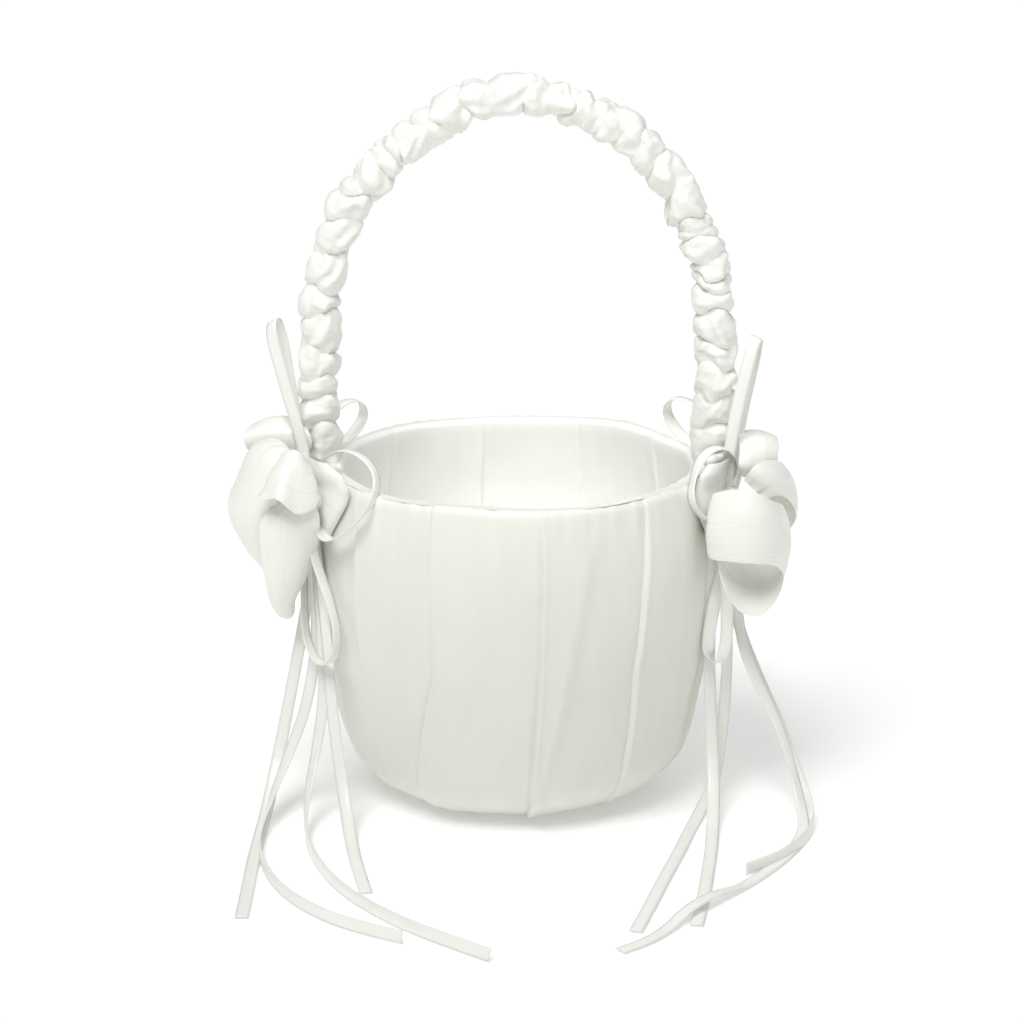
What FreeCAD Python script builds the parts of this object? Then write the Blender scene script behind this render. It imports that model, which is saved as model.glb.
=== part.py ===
"""Satin flower girl basket: padded satin tub, ruched hoop handle, two satin bows.

Millimetres. The origin is the centre of the base where it stands, +Z is up, X runs
through the handle's two feet and -Y is the front.
"""
import FreeCAD
import Part
import math
import os

V = FreeCAD.Vector

# Tub
HEIGHT = 134.0            # top of the rolled rim
BASE_LIFT = 1.2           # thickness of the base disc that the tub stands on
BASE_R = 39.3             # flat part of the tub's bottom
CORNER_R = 30.9           # big rounding between bottom and wall
CORNER_TURN = 74.7        # degrees turned by that rounding
WALL_R = 270.0            # gentle outward belly of the wall
BASE_DISC_R = 34.0
COVER_HEM_R = 26.0        # raw edge of the cover, under the base disc
LINING_HEM_R = 30.0       # raw edge of the lining, under the floor pad

# Layers of the wall, as depths in from the outer face
COVER = (0.0, 0.8)
WADDING = (0.9, 3.3)
SHELL = (3.4, 5.4)
LINING = (6.4, 7.2)
ROLL_R = LINING[1] / 2.0  # the rim is a half round over the whole wall
SHELL_DROP = 3.0          # the shell's top edge stays this far under the roll's middle
JOIN_GAP = 0.2

# Floor
CARD_T = 0.8
CARD_R = 38.0
PAD_TOP = 14.5
PAD_CROWN_R = 5.0

# Handle: a flat strip bent to a hoop, in a ruched satin sleeve
HOOP_REACH = 78.5         # middle of the strip where the hoop is widest
HOOP_TOP = 279.9          # middle of the strip at the crown
HOOP_LEAN = 4.0           # inward lean of the legs above the widest place
SHOULDER_R = 95.0         # wide bend at each side, and the crown's own bend closes the hoop
SHOULDER_TURN = 60.0
STRIP_W = 10.0
STRIP_T = 1.6
FOOT_BOTTOM = 104.0       # lower end of each foot, on the outside of the tub
FOOT_SKIN = 0.5           # satin between the foot and the tub
FLARE_TURN = 5.0          # outward lean of the strip just above the rim
FLARE_R = 70.0
EASE_R = 150.0
SLEEVE_R = 7.5
SLEEVE_FIT = 0.1
TONGUE_HALF_ANGLE = 7.0   # flattened end of the sleeve around each foot
TONGUE_BOTTOM = 100.0

# Rivets that hold each foot to the shell
RIVET_Z = (112.0, 124.0)
RIVET_SHANK_R = 1.5
RIVET_HOLE_R = 1.6
RIVET_HEAD_R = 3.0
RIVET_HEAD_T = 0.7
RIVET_SLACK = 0.15

# Ribbons
CORD_R = 0.7              # round stand-in with the section area of 5 x 0.3 mm ribbon
KNOT_R = 3.6
KNOT_LENGTH = 12.0
FLAT_Z = 0.9              # middle of a ribbon that lies flat on the table
EDGE_Z = 2.8              # middle of a ribbon that lies on its edge
CROSSING_Z = 4.3          # middle of a ribbon where it goes over another

parts = {}
notes = []


def keep(name, shape):
    """Store one node's shape and check that it is sound."""
    if not shape.isValid():
        notes.append(name + " is not valid")
    parts[name] = shape


# ---------------------------------------------------------------- outlines in a plane

def walk(start, heading, moves, depth):
    """Edges and end points of a path of straight runs and tangent arcs, shifted left by depth.

    start is (a, b), heading is in degrees, and each move is ("line", length) or
    ("arc", radius, turn), where a positive turn goes to the left.
    """
    a, b = start
    h = math.radians(heading)
    edges = []
    points = []
    for move in moves:
        left = (-math.sin(h), math.cos(h))
        p = (a + depth * left[0], b + depth * left[1])
        if move[0] == "line":
            a += move[1] * math.cos(h)
            b += move[1] * math.sin(h)
            q = (a + depth * left[0], b + depth * left[1])
            edges.append(("line", p, q))
        else:
            radius, turn = move[1], math.radians(move[2])
            side = math.copysign(1.0, turn)
            centre = (a + side * radius * left[0], b + side * radius * left[1])
            reach = radius - side * depth
            mid = h + turn / 2.0
            h += turn
            m = (centre[0] + side * reach * math.sin(mid), centre[1] - side * reach * math.cos(mid))
            q = (centre[0] + side * reach * math.sin(h), centre[1] - side * reach * math.cos(h))
            a = centre[0] + side * radius * math.sin(h)
            b = centre[1] - side * radius * math.cos(h)
            edges.append(("arc", p, m, q))
        points.append(p)
        points.append(q)
    return edges, points, (a, b), math.degrees(h)


def to_edges(items, lift):
    """Part edges of outline items, with lift turning (a, b) into a vector."""
    made = []
    for item in items:
        if item[0] == "line":
            made.append(Part.LineSegment(lift(item[1]), lift(item[2])).toShape())
        else:
            made.append(Part.Arc(lift(item[1]), lift(item[2]), lift(item[3])).toShape())
    return made


def band_face(start, heading, moves, near, far, lift):
    """Face between two offsets of a path, closed by straight ends."""
    one, one_points, _, _ = walk(start, heading, moves, near)
    two, two_points, _, _ = walk(start, heading, moves, far)
    edges = to_edges(one, lift)
    edges.append(Part.LineSegment(lift(one_points[-1]), lift(two_points[-1])).toShape())
    edges += to_edges(two, lift)[::-1]
    edges.append(Part.LineSegment(lift(two_points[0]), lift(one_points[0])).toShape())
    return Part.Face(Part.Wire(Part.__sortEdges__(edges)))


def radial(point):
    """Outline point as radius and height in the XZ plane."""
    return V(point[0], 0, point[1])


def turned(face):
    """Full turn of a face about the Z axis."""
    return face.revolve(V(0, 0, 0), V(0, 0, 1), 360)


# ---------------------------------------------------------------- tub

def belly_centre():
    """Radius and height of the centre of the wall's arc."""
    end = walk((BASE_R, BASE_LIFT), 0.0, [("arc", CORNER_R, CORNER_TURN)], 0.0)[2]
    turn = math.radians(CORNER_TURN)
    return end[0] - WALL_R * math.sin(turn), end[1] + WALL_R * math.cos(turn)


def wall_turn():
    """Degrees that the wall turns from the corner up to the rim's roll, whose top is at HEIGHT."""
    drop = (belly_centre()[1] + ROLL_R - HEIGHT) / (WALL_R - ROLL_R)
    return math.degrees(math.acos(drop)) - CORNER_TURN


WALL_TURN = wall_turn()


def wall_moves(flat, drop=0.0):
    """Moves along the outer face: flat bottom, corner and wall, stopping drop short of the roll."""
    cut = math.degrees(drop / WALL_R)
    moves = [("arc", CORNER_R, CORNER_TURN), ("arc", WALL_R, WALL_TURN - cut)]
    if flat > 0:
        moves.insert(0, ("line", flat))
    return moves


def outer_radius(z):
    """Radius of the tub's outer face at a height on its wall."""
    centre = belly_centre()
    return centre[0] + math.sqrt(WALL_R ** 2 - (z - centre[1]) ** 2)


def layer(span, inner_r, drop=0.0):
    """Solid of one wall layer, from inner_r on the bottom to the rim."""
    moves = wall_moves(BASE_R - inner_r, drop)
    start = (inner_r, BASE_LIFT)
    return turned(band_face(start, 0.0, moves, span[0], span[1], radial))


def roll(span):
    """Half-round top of a layer that goes over the rim and down to the lining."""
    moves = wall_moves(0.0)
    end, heading = walk((BASE_R, BASE_LIFT), 0.0, moves, 0.0)[2:]
    return turned(band_face(end, heading, [("arc", ROLL_R, 180.0)], span[0], span[1], radial))


def make_tub():
    """Base disc, moulded shell, wadding, outer cover and lining."""
    base_disc = Part.makeCylinder(BASE_DISC_R, BASE_LIFT)
    keep("base_disc", base_disc)
    keep("outer_cover", layer(COVER, COVER_HEM_R).fuse(roll(COVER)).removeSplitter())
    keep("wadding_wrap", layer(WADDING, 0.0))
    keep("tub_shell", layer(SHELL, 0.0, SHELL_DROP))
    keep("lining_wall", layer(LINING, LINING_HEM_R, JOIN_GAP))
    moves = wall_moves(0.0)
    end, heading = walk((BASE_R, BASE_LIFT), 0.0, moves, 0.0)[2:]
    core = band_face(end, heading, [("arc", ROLL_R, 180.0)], WADDING[0], ROLL_R - 0.3, radial)
    keep("rim_filling", turned(core))


def tub_envelope(clearance):
    """Solid that holds the whole tub with a clearance, for cutting what lies on it."""
    moves = wall_moves(BASE_R) + [("arc", ROLL_R, 90.0)]
    edges, points = walk((0.0, BASE_LIFT), 0.0, moves, -clearance)[:2]
    edges.append(("line", points[-1], (0.0, points[-1][1])))
    edges.append(("line", (0.0, points[-1][1]), points[0]))
    return turned(Part.Face(Part.Wire(to_edges(edges, radial))))


def make_floor():
    """Stiff card under the lining's hem, and the padded satin floor on top."""
    card_z = BASE_LIFT + SHELL[1] + 0.1
    card = Part.makeCylinder(CARD_R, CARD_T, V(0, 0, card_z))
    keep("floor_card", card)
    depth = LINING[1] + JOIN_GAP
    corner = walk((BASE_R, BASE_LIFT), 0.0, [("arc", CORNER_R, CORNER_TURN)], depth)[0]
    edges = to_edges([("line", (0.0, BASE_LIFT + depth), (BASE_R, BASE_LIFT + depth))], radial)
    edges += to_edges(corner, radial)
    edges.append(Part.LineSegment(edges[-1].Vertexes[-1].Point, V(0, 0, edges[-1].Vertexes[-1].Z)).toShape())
    edges.append(Part.LineSegment(V(0, 0, edges[-1].Vertexes[-1].Z), V(0, 0, BASE_LIFT + depth)).toShape())
    bowl = turned(Part.Face(Part.Wire(Part.__sortEdges__(edges))))
    trim = Part.makeCylinder(2 * BASE_R, PAD_TOP)
    keep("floor_pad", bowl.common(trim))


# ---------------------------------------------------------------- handle

def handle_path():
    """Start, heading and moves of the strip's middle line, from the right foot's top upward."""
    depth = -(FOOT_SKIN + STRIP_T / 2.0)
    end, heading = walk((BASE_R, BASE_LIFT), 0.0, wall_moves(0.0), 0.0)[2:]
    h = math.radians(heading)
    start = (end[0] - depth * math.sin(h), end[1] + depth * math.cos(h))
    lean = heading - 90.0
    turn_out = -(lean + FLARE_TURN)
    out, flare_heading = walk(start, heading, [("arc", FLARE_R, turn_out)], 0.0)[2:]
    ease_dx = EASE_R * (1.0 - math.cos(math.radians(FLARE_TURN)))
    run = (HOOP_REACH - out[0] - ease_dx) / math.cos(math.radians(flare_heading))
    first = [("arc", FLARE_R, turn_out), ("line", run), ("arc", EASE_R, FLARE_TURN + HOOP_LEAN)]
    low = walk(start, heading, first, 0.0)[2]
    a = math.radians(90.0 + HOOP_LEAN)
    b = a + math.radians(SHOULDER_TURN)
    x = SHOULDER_R * (math.sin(a) - math.sin(b)) - low[0]
    z = HOOP_TOP - low[1] - SHOULDER_R * (math.cos(a) - math.cos(b))
    share = math.cos(a) * (1.0 + math.cos(b)) + math.sin(a) * math.sin(b)
    rise = (x * (1.0 + math.cos(b)) + z * math.sin(b)) / share
    crown_r = (z * math.cos(a) - x * math.sin(a)) / share
    leg = first + [("line", rise), ("arc", SHOULDER_R, SHOULDER_TURN)]
    crown = ("arc", crown_r, 2.0 * (90.0 - HOOP_LEAN - SHOULDER_TURN))
    return start, heading, leg + [crown] + leg[::-1]


def foot_sector(near, far, bottom, half_angle):
    """Curved plate on the outside of the tub, from bottom up to the rim, facing +X."""
    low = Part.makeCylinder(200, 400, V(0, 0, bottom))
    moves = wall_moves(0.0)
    face = band_face((BASE_R, BASE_LIFT), 0.0, moves, -near, -far, radial)
    wedge = Part.makeCylinder(200, 400, V(0, 0, 0), V(0, 0, 1), 2 * half_angle)
    wedge.rotate(V(0, 0, 0), V(0, 0, 1), -half_angle)
    return turned(face).common(low).common(wedge)


def both_sides(shape):
    """The shape and its half turn about Z."""
    other = shape.copy()
    other.rotate(V(0, 0, 0), V(0, 0, 1), 180)
    return [shape, other]


def round_bar(start, heading, moves, radius):
    """Round solid along a path of lines and tangent arcs in the XZ plane."""
    bars = []
    for move in moves:
        h = math.radians(heading)
        way = V(math.cos(h), 0, math.sin(h))
        left = V(-math.sin(h), 0, math.cos(h))
        disc = Part.Face(Part.Wire(Part.Circle(radial(start), way, radius).toShape()))
        if move[0] == "line":
            bars.append(disc.extrude(way * move[1]))
        else:
            side = math.copysign(1.0, move[2])
            centre = radial(start) + left * (side * move[1])
            bars.append(disc.revolve(centre, V(0, -1, 0), move[2]))
        start, heading = walk(start, heading, [move], 0.0)[2:]
    return bars[0].multiFuse(bars[1:]).removeSplitter()


def make_handle():
    """Flat strip with its riveted feet, ruched sleeve and the rivets."""
    start, heading, moves = handle_path()
    face = band_face(start, heading, moves, -STRIP_T / 2.0, STRIP_T / 2.0, radial)
    face.translate(V(0, -STRIP_W / 2.0, 0))
    strip = face.extrude(V(0, STRIP_W, 0))
    half = math.degrees(STRIP_W / 2.0 / outer_radius(HEIGHT))
    feet = both_sides(foot_sector(FOOT_SKIN, FOOT_SKIN + STRIP_T, FOOT_BOTTOM, half))
    strip = strip.fuse(feet)

    tube = round_bar(start, heading, moves, SLEEVE_R)
    fit = STRIP_T / 2.0 + SLEEVE_FIT
    inside = band_face(start, heading, moves, -fit, fit, radial)
    inside.translate(V(0, -STRIP_W / 2.0 - SLEEVE_FIT, 0))
    inside = inside.extrude(V(0, STRIP_W + 2 * SLEEVE_FIT, 0))
    pocket_half = half + math.degrees(SLEEVE_FIT / outer_radius(HEIGHT))
    pocket = foot_sector(FOOT_SKIN, FOOT_SKIN + STRIP_T, FOOT_BOTTOM, pocket_half)
    sleeve = tube.cut(tub_envelope(SLEEVE_FIT)).cut(inside).cut(both_sides(pocket))
    keep("handle_sleeve", sleeve)
    top = 2 * FOOT_SKIN + STRIP_T
    end = foot_sector(SLEEVE_FIT, top, TONGUE_BOTTOM, TONGUE_HALF_ANGLE)
    make_rivets(strip, end.cut(pocket))


def across_wall(radius, depth_out, depth_in, z):
    """Cylinder square to the wall at height z, from depth_in inside it to depth_out outside it."""
    centre = belly_centre()
    lean = math.asin((z - centre[1]) / WALL_R)
    way = V(math.cos(lean), 0, math.sin(lean))
    face = V(centre[0], 0, centre[1]) + way * WALL_R
    return Part.makeCylinder(radius, depth_out + depth_in, face - way * depth_in, way)


def make_rivets(strip, end):
    """Two rivets a foot through sleeve end, strip, cover, wadding and shell, clinched inside."""
    top = FOOT_SKIN + STRIP_T + RIVET_SLACK
    under = SHELL[1] + RIVET_SLACK
    rivets = []
    for z in RIVET_Z:
        shank = across_wall(RIVET_SHANK_R, top, under, z)
        head = across_wall(RIVET_HEAD_R, top + RIVET_HEAD_T, -top, z)
        clinch = across_wall(RIVET_HEAD_R, -under, under + RIVET_HEAD_T, z)
        rivets += both_sides(shank.fuse([head, clinch]).removeSplitter())
        hole = across_wall(RIVET_HOLE_R, 2 * top, under, z)
        seat = across_wall(RIVET_HEAD_R + SLEEVE_FIT, 2 * top, -top + SLEEVE_FIT, z)
        end = end.cut([hole, seat])
        strip = strip.cut(both_sides(hole))
        for name in ("outer_cover", "wadding_wrap", "tub_shell"):
            parts[name] = parts[name].cut(both_sides(hole))
    keep("handle_strip", strip.removeSplitter())
    keep("sleeve_end_right", end)
    keep("sleeve_end_left", both_sides(end)[1])
    keep("handle_rivets", Part.makeCompound(rivets))


# ---------------------------------------------------------------- bows

# Each petal: the end by the knot, the far end, the way its flat side faces, half width, half depth
PETALS = {
    "bow_left_back_petal": ((-87, -1, 137), (-106, 8, 144), (0.2, 1.0, -0.1), 8.0, 6.5),
    "bow_left_side_petal": ((-98, -15, 140), (-104, -11, 86), (-0.9, -0.4, 0.0), 10.5, 6.5),
    "bow_left_front_petal": ((-86, -35, 138), (-90, -40, 119), (-0.5, -0.85, 0.0), 10.5, 4.5),
    "bow_left_lower_petal": ((-87, -31, 112), (-90, -29, 76), (-0.85, -0.5, 0.0), 11.5, 6.0),
    "bow_right_top_petal": ((88, -3, 134), (105, 2, 138), (0.2, -1.0, 0.1), 8.0, 7.0),
    "bow_right_side_petal": ((92, -14, 123), (109, -8, 108), (0.5, -0.5, 0.7), 10.5, 5.0),
    "bow_right_lower_petal": ((87, -31, 116), (94, -31, 78), (0.75, -0.65, 0.1), 14.0, 6.5),
}
FLOWER_KNOTS = {
    "bow_left_centre": ((-84, -29, 124), (-0.93, -0.37, 0.0)),
    "bow_right_centre": ((84.5, -26.5, 124), (0.93, -0.37, 0.0)),
}
FLOWER_KNOT_R = 4.5
FLOWER_KNOT_DEPTH = 6.0
STEM_R = 4.0              # gathered tails of the bow, stitched and glued to the cover
RIM_REACH = 20.0          # longer than the gap that a stem fills
RIBBON_KNOTS = {
    "ribbon_knot_left": (-81.5, -16.0, 124.0),
    "ribbon_knot_right": (83.0, -14.4, 124.0),
}


def make_petal(name, base, tip, facing, half_width, half_depth):
    """Barrel between two points, flattened towards the way that it faces."""
    base, tip, facing = V(*base), V(*tip), V(*facing)
    axis = tip - base
    length = axis.Length
    axis.normalize()
    side = axis.cross(facing)
    side.normalize()
    facing = side.cross(axis)
    arc = Part.Arc(V(0.45, 0, 0), V(1.0, 0, 0.6 * length), V(0.5, 0, length)).toShape()
    edges = [
        Part.LineSegment(V(0, 0, 0), V(0.45, 0, 0)).toShape(),
        arc,
        Part.LineSegment(V(0.5, 0, length), V(0, 0, length)).toShape(),
        Part.LineSegment(V(0, 0, length), V(0, 0, 0)).toShape(),
    ]
    barrel = turned(Part.Face(Part.Wire(edges)))
    matrix = FreeCAD.Matrix(
        side.x * half_width, facing.x * half_depth, axis.x, base.x,
        side.y * half_width, facing.y * half_depth, axis.y, base.y,
        side.z * half_width, facing.z * half_depth, axis.z, base.z,
        0, 0, 0, 1)
    keep(name, barrel.transformGeometry(matrix))


def make_bows():
    """Satin loops and the folded centre of each bow."""
    for name, (base, tip, facing, half_width, half_depth) in PETALS.items():
        make_petal(name, base, tip, facing, half_width, half_depth)
    for name, (centre, outward) in FLOWER_KNOTS.items():
        way = V(*outward)
        start = V(*centre) - way * (FLOWER_KNOT_DEPTH / 2.0)
        keep(name, Part.makeCylinder(FLOWER_KNOT_R, FLOWER_KNOT_DEPTH, start, way))
        stem = Part.makeCylinder(STEM_R, RIM_REACH, start, way * -1)
        keep(name.replace("centre", "stem"), stem.cut(tub_envelope(0.0)))
    for name, centre in RIBBON_KNOTS.items():
        start = V(*centre) - V(0, KNOT_LENGTH / 2.0, 0)
        keep(name, Part.makeCylinder(KNOT_R, KNOT_LENGTH, start, V(0, 1, 0)))


# ---------------------------------------------------------------- ribbons

ROUTES = {
    "streamer_left_outer": [
        (-82.0, -11.4, 124.0), (-81.6, -12.0, 108.0), (-82.2, -14.0, 86.0), (-86.0, -20.0, 64.0),
        (-90.5, -23.5, 41.0), (-95.0, -31.0, 19.0), (-98.2, -46.0, 4.6), (-99.7, -68.0, FLAT_Z),
        (-100.4, -94.0, FLAT_Z), (-100.1, -121.0, FLAT_Z), (-100.3, -146.0, FLAT_Z)],
    "streamer_left_curled": [
        (-81.4, -13.8, 124.0), (-80.3, -15.0, 107.0), (-79.7, -18.5, 86.0), (-79.2, -24.0, 63.0),
        (-83.6, -29.0, 39.0), (-90.0, -32.5, 23.0), (-95.2, -44.0, 12.0), (-98.2, -59.0, 4.6),
        (-99.0, -79.0, EDGE_Z), (-96.4, -99.0, EDGE_Z), (-89.4, -120.5, EDGE_Z),
        (-78.0, -140.0, EDGE_Z), (-60.5, -157.5, EDGE_Z), (-41.0, -168.0, EDGE_Z)],
    "streamer_left_long": [
        (-81.4, -16.6, 124.0), (-79.8, -18.2, 107.0), (-78.4, -22.4, 88.0), (-76.8, -29.0, 68.0),
        (-75.6, -35.0, 49.0), (-78.4, -36.5, 29.0), (-82.0, -49.0, 13.0), (-82.2, -62.0, 4.6),
        (-80.5, -79.0, EDGE_Z), (-75.6, -98.0, EDGE_Z), (-67.6, -119.0, EDGE_Z),
        (-55.5, -139.0, EDGE_Z), (-35.5, -162.5, EDGE_Z), (-9.7, -183.5, EDGE_Z)],
    "streamer_left_inner": [
        (-81.3, -19.0, 124.0), (-78.9, -21.6, 106.0), (-76.7, -26.6, 87.0), (-74.2, -34.0, 66.0),
        (-72.7, -40.5, 46.0), (-70.4, -45.5, 28.0), (-67.2, -55.5, 10.5), (-64.2, -72.5, 1.6),
        (-60.8, -97.0, FLAT_Z), (-56.1, -123.0, FLAT_Z)],
    "loop_left_up": [
        (-81.8, -14.0, 124.5), (-82.6, -13.4, 136.0), (-85.6, -12.2, 149.0), (-89.7, -11.2, 164.0),
        (-93.6, -10.0, 178.5), (-96.3, -7.6, 189.0), (-94.8, -2.4, 192.4), (-92.2, -1.0, 184.0),
        (-90.1, -1.8, 170.0), (-87.6, -3.4, 154.0), (-84.9, -7.2, 139.0), (-82.9, -11.0, 124.2)],
    "loop_left_back": [
        (-83.8, -11.4, 124.4), (-87.6, 0.5, 128.0), (-87.0, 14.5, 132.0), (-80.5, 28.0, 140.5),
        (-70.5, 36.5, 149.0), (-62.8, 39.5, 148.6), (-62.6, 46.5, 138.5), (-71.5, 39.5, 129.5),
        (-80.5, 24.5, 125.0), (-85.4, 9.0, 121.0), (-85.0, -3.5, 119.5), (-82.4, -10.8, 121.6)],
    "loop_left_front": [
        (-81.3, -17.4, 126.0), (-79.5, -18.6, 135.0), (-73.6, -21.5, 142.0), (-65.5, -27.5, 145.6),
        (-56.6, -38.0, 143.6), (-52.6, -50.0, 138.0), (-56.0, -57.6, 130.0), (-64.9, -52.2, 119.5),
        (-71.8, -43.0, 112.6), (-76.4, -33.5, 113.4), (-79.0, -24.6, 118.5), (-81.2, -19.6, 123.0)],
    "loop_left_down": [
        (-81.8, -21.2, 122.5), (-81.0, -26.8, 113.0), (-78.0, -32.0, 100.0), (-72.6, -38.8, 87.5),
        (-69.4, -45.0, 75.5), (-70.9, -46.0, 65.0), (-77.4, -37.4, 60.6), (-83.0, -28.6, 68.0),
        (-83.8, -23.6, 82.0), (-83.6, -19.8, 97.0), (-84.0, -17.0, 111.0), (-84.4, -16.4, 122.5)],
    "streamer_right_front": [
        (82.0, -18.2, 124.0), (79.8, -17.8, 107.0), (77.7, -18.6, 88.0), (75.9, -22.0, 66.0),
        (76.4, -26.0, 44.0), (77.4, -32.0, 26.0), (77.6, -43.0, 10.5), (76.4, -59.0, 2.4),
        (74.4, -82.0, FLAT_Z), (71.6, -105.0, FLAT_Z), (68.6, -129.0, FLAT_Z), (64.8, -153.0, FLAT_Z)],
    "streamer_right_slant": [
        (82.4, -15.6, 124.0), (81.5, -16.0, 108.0), (82.8, -17.5, 86.0), (83.6, -20.5, 62.0),
        (82.9, -20.0, 38.0), (80.9, -20.0, 17.0), (77.8, -26.0, 4.2), (72.5, -41.0, FLAT_Z),
        (67.0, -62.0, FLAT_Z), (61.3, -86.0, FLAT_Z), (54.9, -110.0, FLAT_Z),
        (48.8, -135.0, FLAT_Z), (42.6, -158.5, FLAT_Z)],
    "streamer_right_outer": [
        (82.7, -12.6, 124.0), (82.4, -12.9, 108.0), (83.8, -13.9, 90.0), (87.2, -15.4, 73.0),
        (92.0, -17.0, 58.5), (98.4, -19.0, 44.5), (107.2, -26.5, 28.0), (113.7, -35.5, 13.5),
        (116.7, -46.5, 5.4), (115.6, -59.5, EDGE_Z), (111.2, -73.5, EDGE_Z), (104.2, -86.5, EDGE_Z),
        (95.6, -97.2, EDGE_Z), (86.0, -104.6, EDGE_Z)],
    "streamer_right_curled": [
        (83.0, -9.8, 124.0), (84.4, -10.6, 107.0), (86.0, -14.6, 89.0), (88.6, -21.6, 66.0),
        (94.0, -27.0, 52.5), (100.6, -31.0, 40.0), (106.8, -35.0, 25.0), (110.9, -42.0, 10.5),
        (112.4, -53.5, 2.6), (111.0, -66.0, FLAT_Z), (106.6, -79.0, FLAT_Z), (100.2, -92.0, FLAT_Z),
        (92.0, -105.6, FLAT_Z), (83.4, -118.0, FLAT_Z), (73.6, -130.6, CROSSING_Z),
        (62.6, -144.4, CROSSING_Z), (54.6, -156.2, 1.2), (46.0, -168.0, FLAT_Z), (36.3, -175.6, FLAT_Z)],
    "loop_right_up": [
        (82.6, -14.6, 124.5), (82.8, -15.0, 137.0), (84.4, -14.0, 150.0), (87.0, -12.4, 163.0),
        (89.6, -10.6, 174.0), (92.2, -8.0, 183.0), (94.4, -3.0, 185.4), (93.4, -0.6, 177.0),
        (90.9, -1.2, 165.0), (88.2, -2.6, 152.0), (85.6, -6.2, 138.0), (83.6, -10.2, 124.4)],
    "loop_right_back": [
        (85.0, -9.6, 124.4), (88.6, 2.5, 128.0), (87.8, 15.5, 132.0), (81.5, 28.0, 140.0),
        (71.6, 35.5, 148.6), (62.8, 38.5, 150.6), (60.6, 47.0, 141.0), (69.5, 41.5, 130.5),
        (79.8, 26.5, 125.0), (85.6, 11.0, 121.0), (85.8, -1.5, 119.5), (83.6, -8.9, 121.6)],
    "loop_right_front": [
        (83.4, -15.6, 126.0), (86.9, -14.6, 131.0), (85.4, -16.2, 139.6), (79.4, -19.6, 145.0),
        (72.6, -25.6, 143.4), (68.2, -35.0, 138.6), (66.2, -43.0, 130.0), (70.2, -39.4, 122.2),
        (75.6, -33.0, 117.4), (80.2, -25.0, 116.2), (82.4, -18.6, 122.4)],
    "loop_right_down": [
        (83.6, -19.3, 122.5), (82.6, -24.6, 111.0), (81.4, -27.4, 98.0), (82.4, -28.2, 83.0),
        (82.6, -29.0, 68.0), (80.6, -29.8, 59.8), (76.6, -29.2, 58.8), (74.9, -27.8, 65.8),
        (77.0, -25.2, 79.0), (80.6, -21.8, 94.0), (83.6, -19.4, 108.5), (85.0, -16.4, 122.5)],
}


def tube_along(name, points):
    """Round tube along straight runs joined by tangent arcs as large as the runs allow."""
    pts = [V(*p) for p in points]
    runs = [(b - a).Length for a, b in zip(pts, pts[1:])]
    edges = []
    radii = []
    at = pts[0]
    length = 0.0
    for i in range(1, len(pts) - 1):
        before = pts[i] - pts[i - 1]
        after = pts[i + 1] - pts[i]
        turn = before.getAngle(after)
        trim = 0.45 * min(runs[i - 1], runs[i])
        radii.append(trim / math.tan(turn / 2.0))
        before.normalize()
        after.normalize()
        a = pts[i] - before * trim
        b = pts[i] + after * trim
        bisector = after - before
        bisector.normalize()
        mid = pts[i] + bisector * (radii[-1] / math.cos(turn / 2.0) - radii[-1])
        edges.append(Part.LineSegment(at, a).toShape())
        edges.append(Part.Arc(a, mid, b).toShape())
        length += (a - at).Length + radii[-1] * turn
        at = b
    edges.append(Part.LineSegment(at, pts[-1]).toShape())
    length += (pts[-1] - at).Length
    start_way = pts[1] - pts[0]
    ring = Part.Wire(Part.Circle(pts[0], start_way, CORD_R).toShape())
    tube = Part.Wire(edges).makePipeShell([ring], True, False)
    exact = math.pi * CORD_R ** 2 * length
    print("%-22s length %6.1f  smallest radius %5.1f  volume %.4f of section x length"
          % (name, length, min(radii), tube.Volume / exact))
    ratio = max(max(a / b, b / a) for a, b in zip(runs, runs[1:]))
    if ratio > 2.05 or min(radii) < 2 * CORD_R or abs(tube.Volume / exact - 1) > 0.01:
        notes.append("%s run ratio %.2f, radius %.1f" % (name, ratio, min(radii)))
    return tube


def make_ribbons():
    """Streamers and small loops, each ending on the face of its knot."""
    for name, points in ROUTES.items():
        knot = parts["ribbon_knot_left" if "_left" in name else "ribbon_knot_right"]
        tube = tube_along(name, points).cut(knot)
        keep(name, max(tube.Solids, key=lambda solid: solid.Volume))


def main():
    """Make every node and write its STEP file."""
    make_tub()
    make_floor()
    make_handle()
    make_bows()
    make_ribbons()
    os.makedirs("parts", exist_ok=True)
    for name, shape in parts.items():
        shape.exportStep("parts/" + name + ".step")
    box = Part.makeCompound(list(parts.values())).BoundBox
    print("nodes", len(parts), "box", box)
    print("notes", notes)


main()
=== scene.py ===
"""Ivory satin flower girl basket: the looks that go on the CAD frame.

Metres. The origin is under the middle of the base, +Z is up, X runs through the handle's
two feet and -Y is the front.
"""

import logging
import math
from dataclasses import dataclass, field
from enum import Enum

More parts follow.
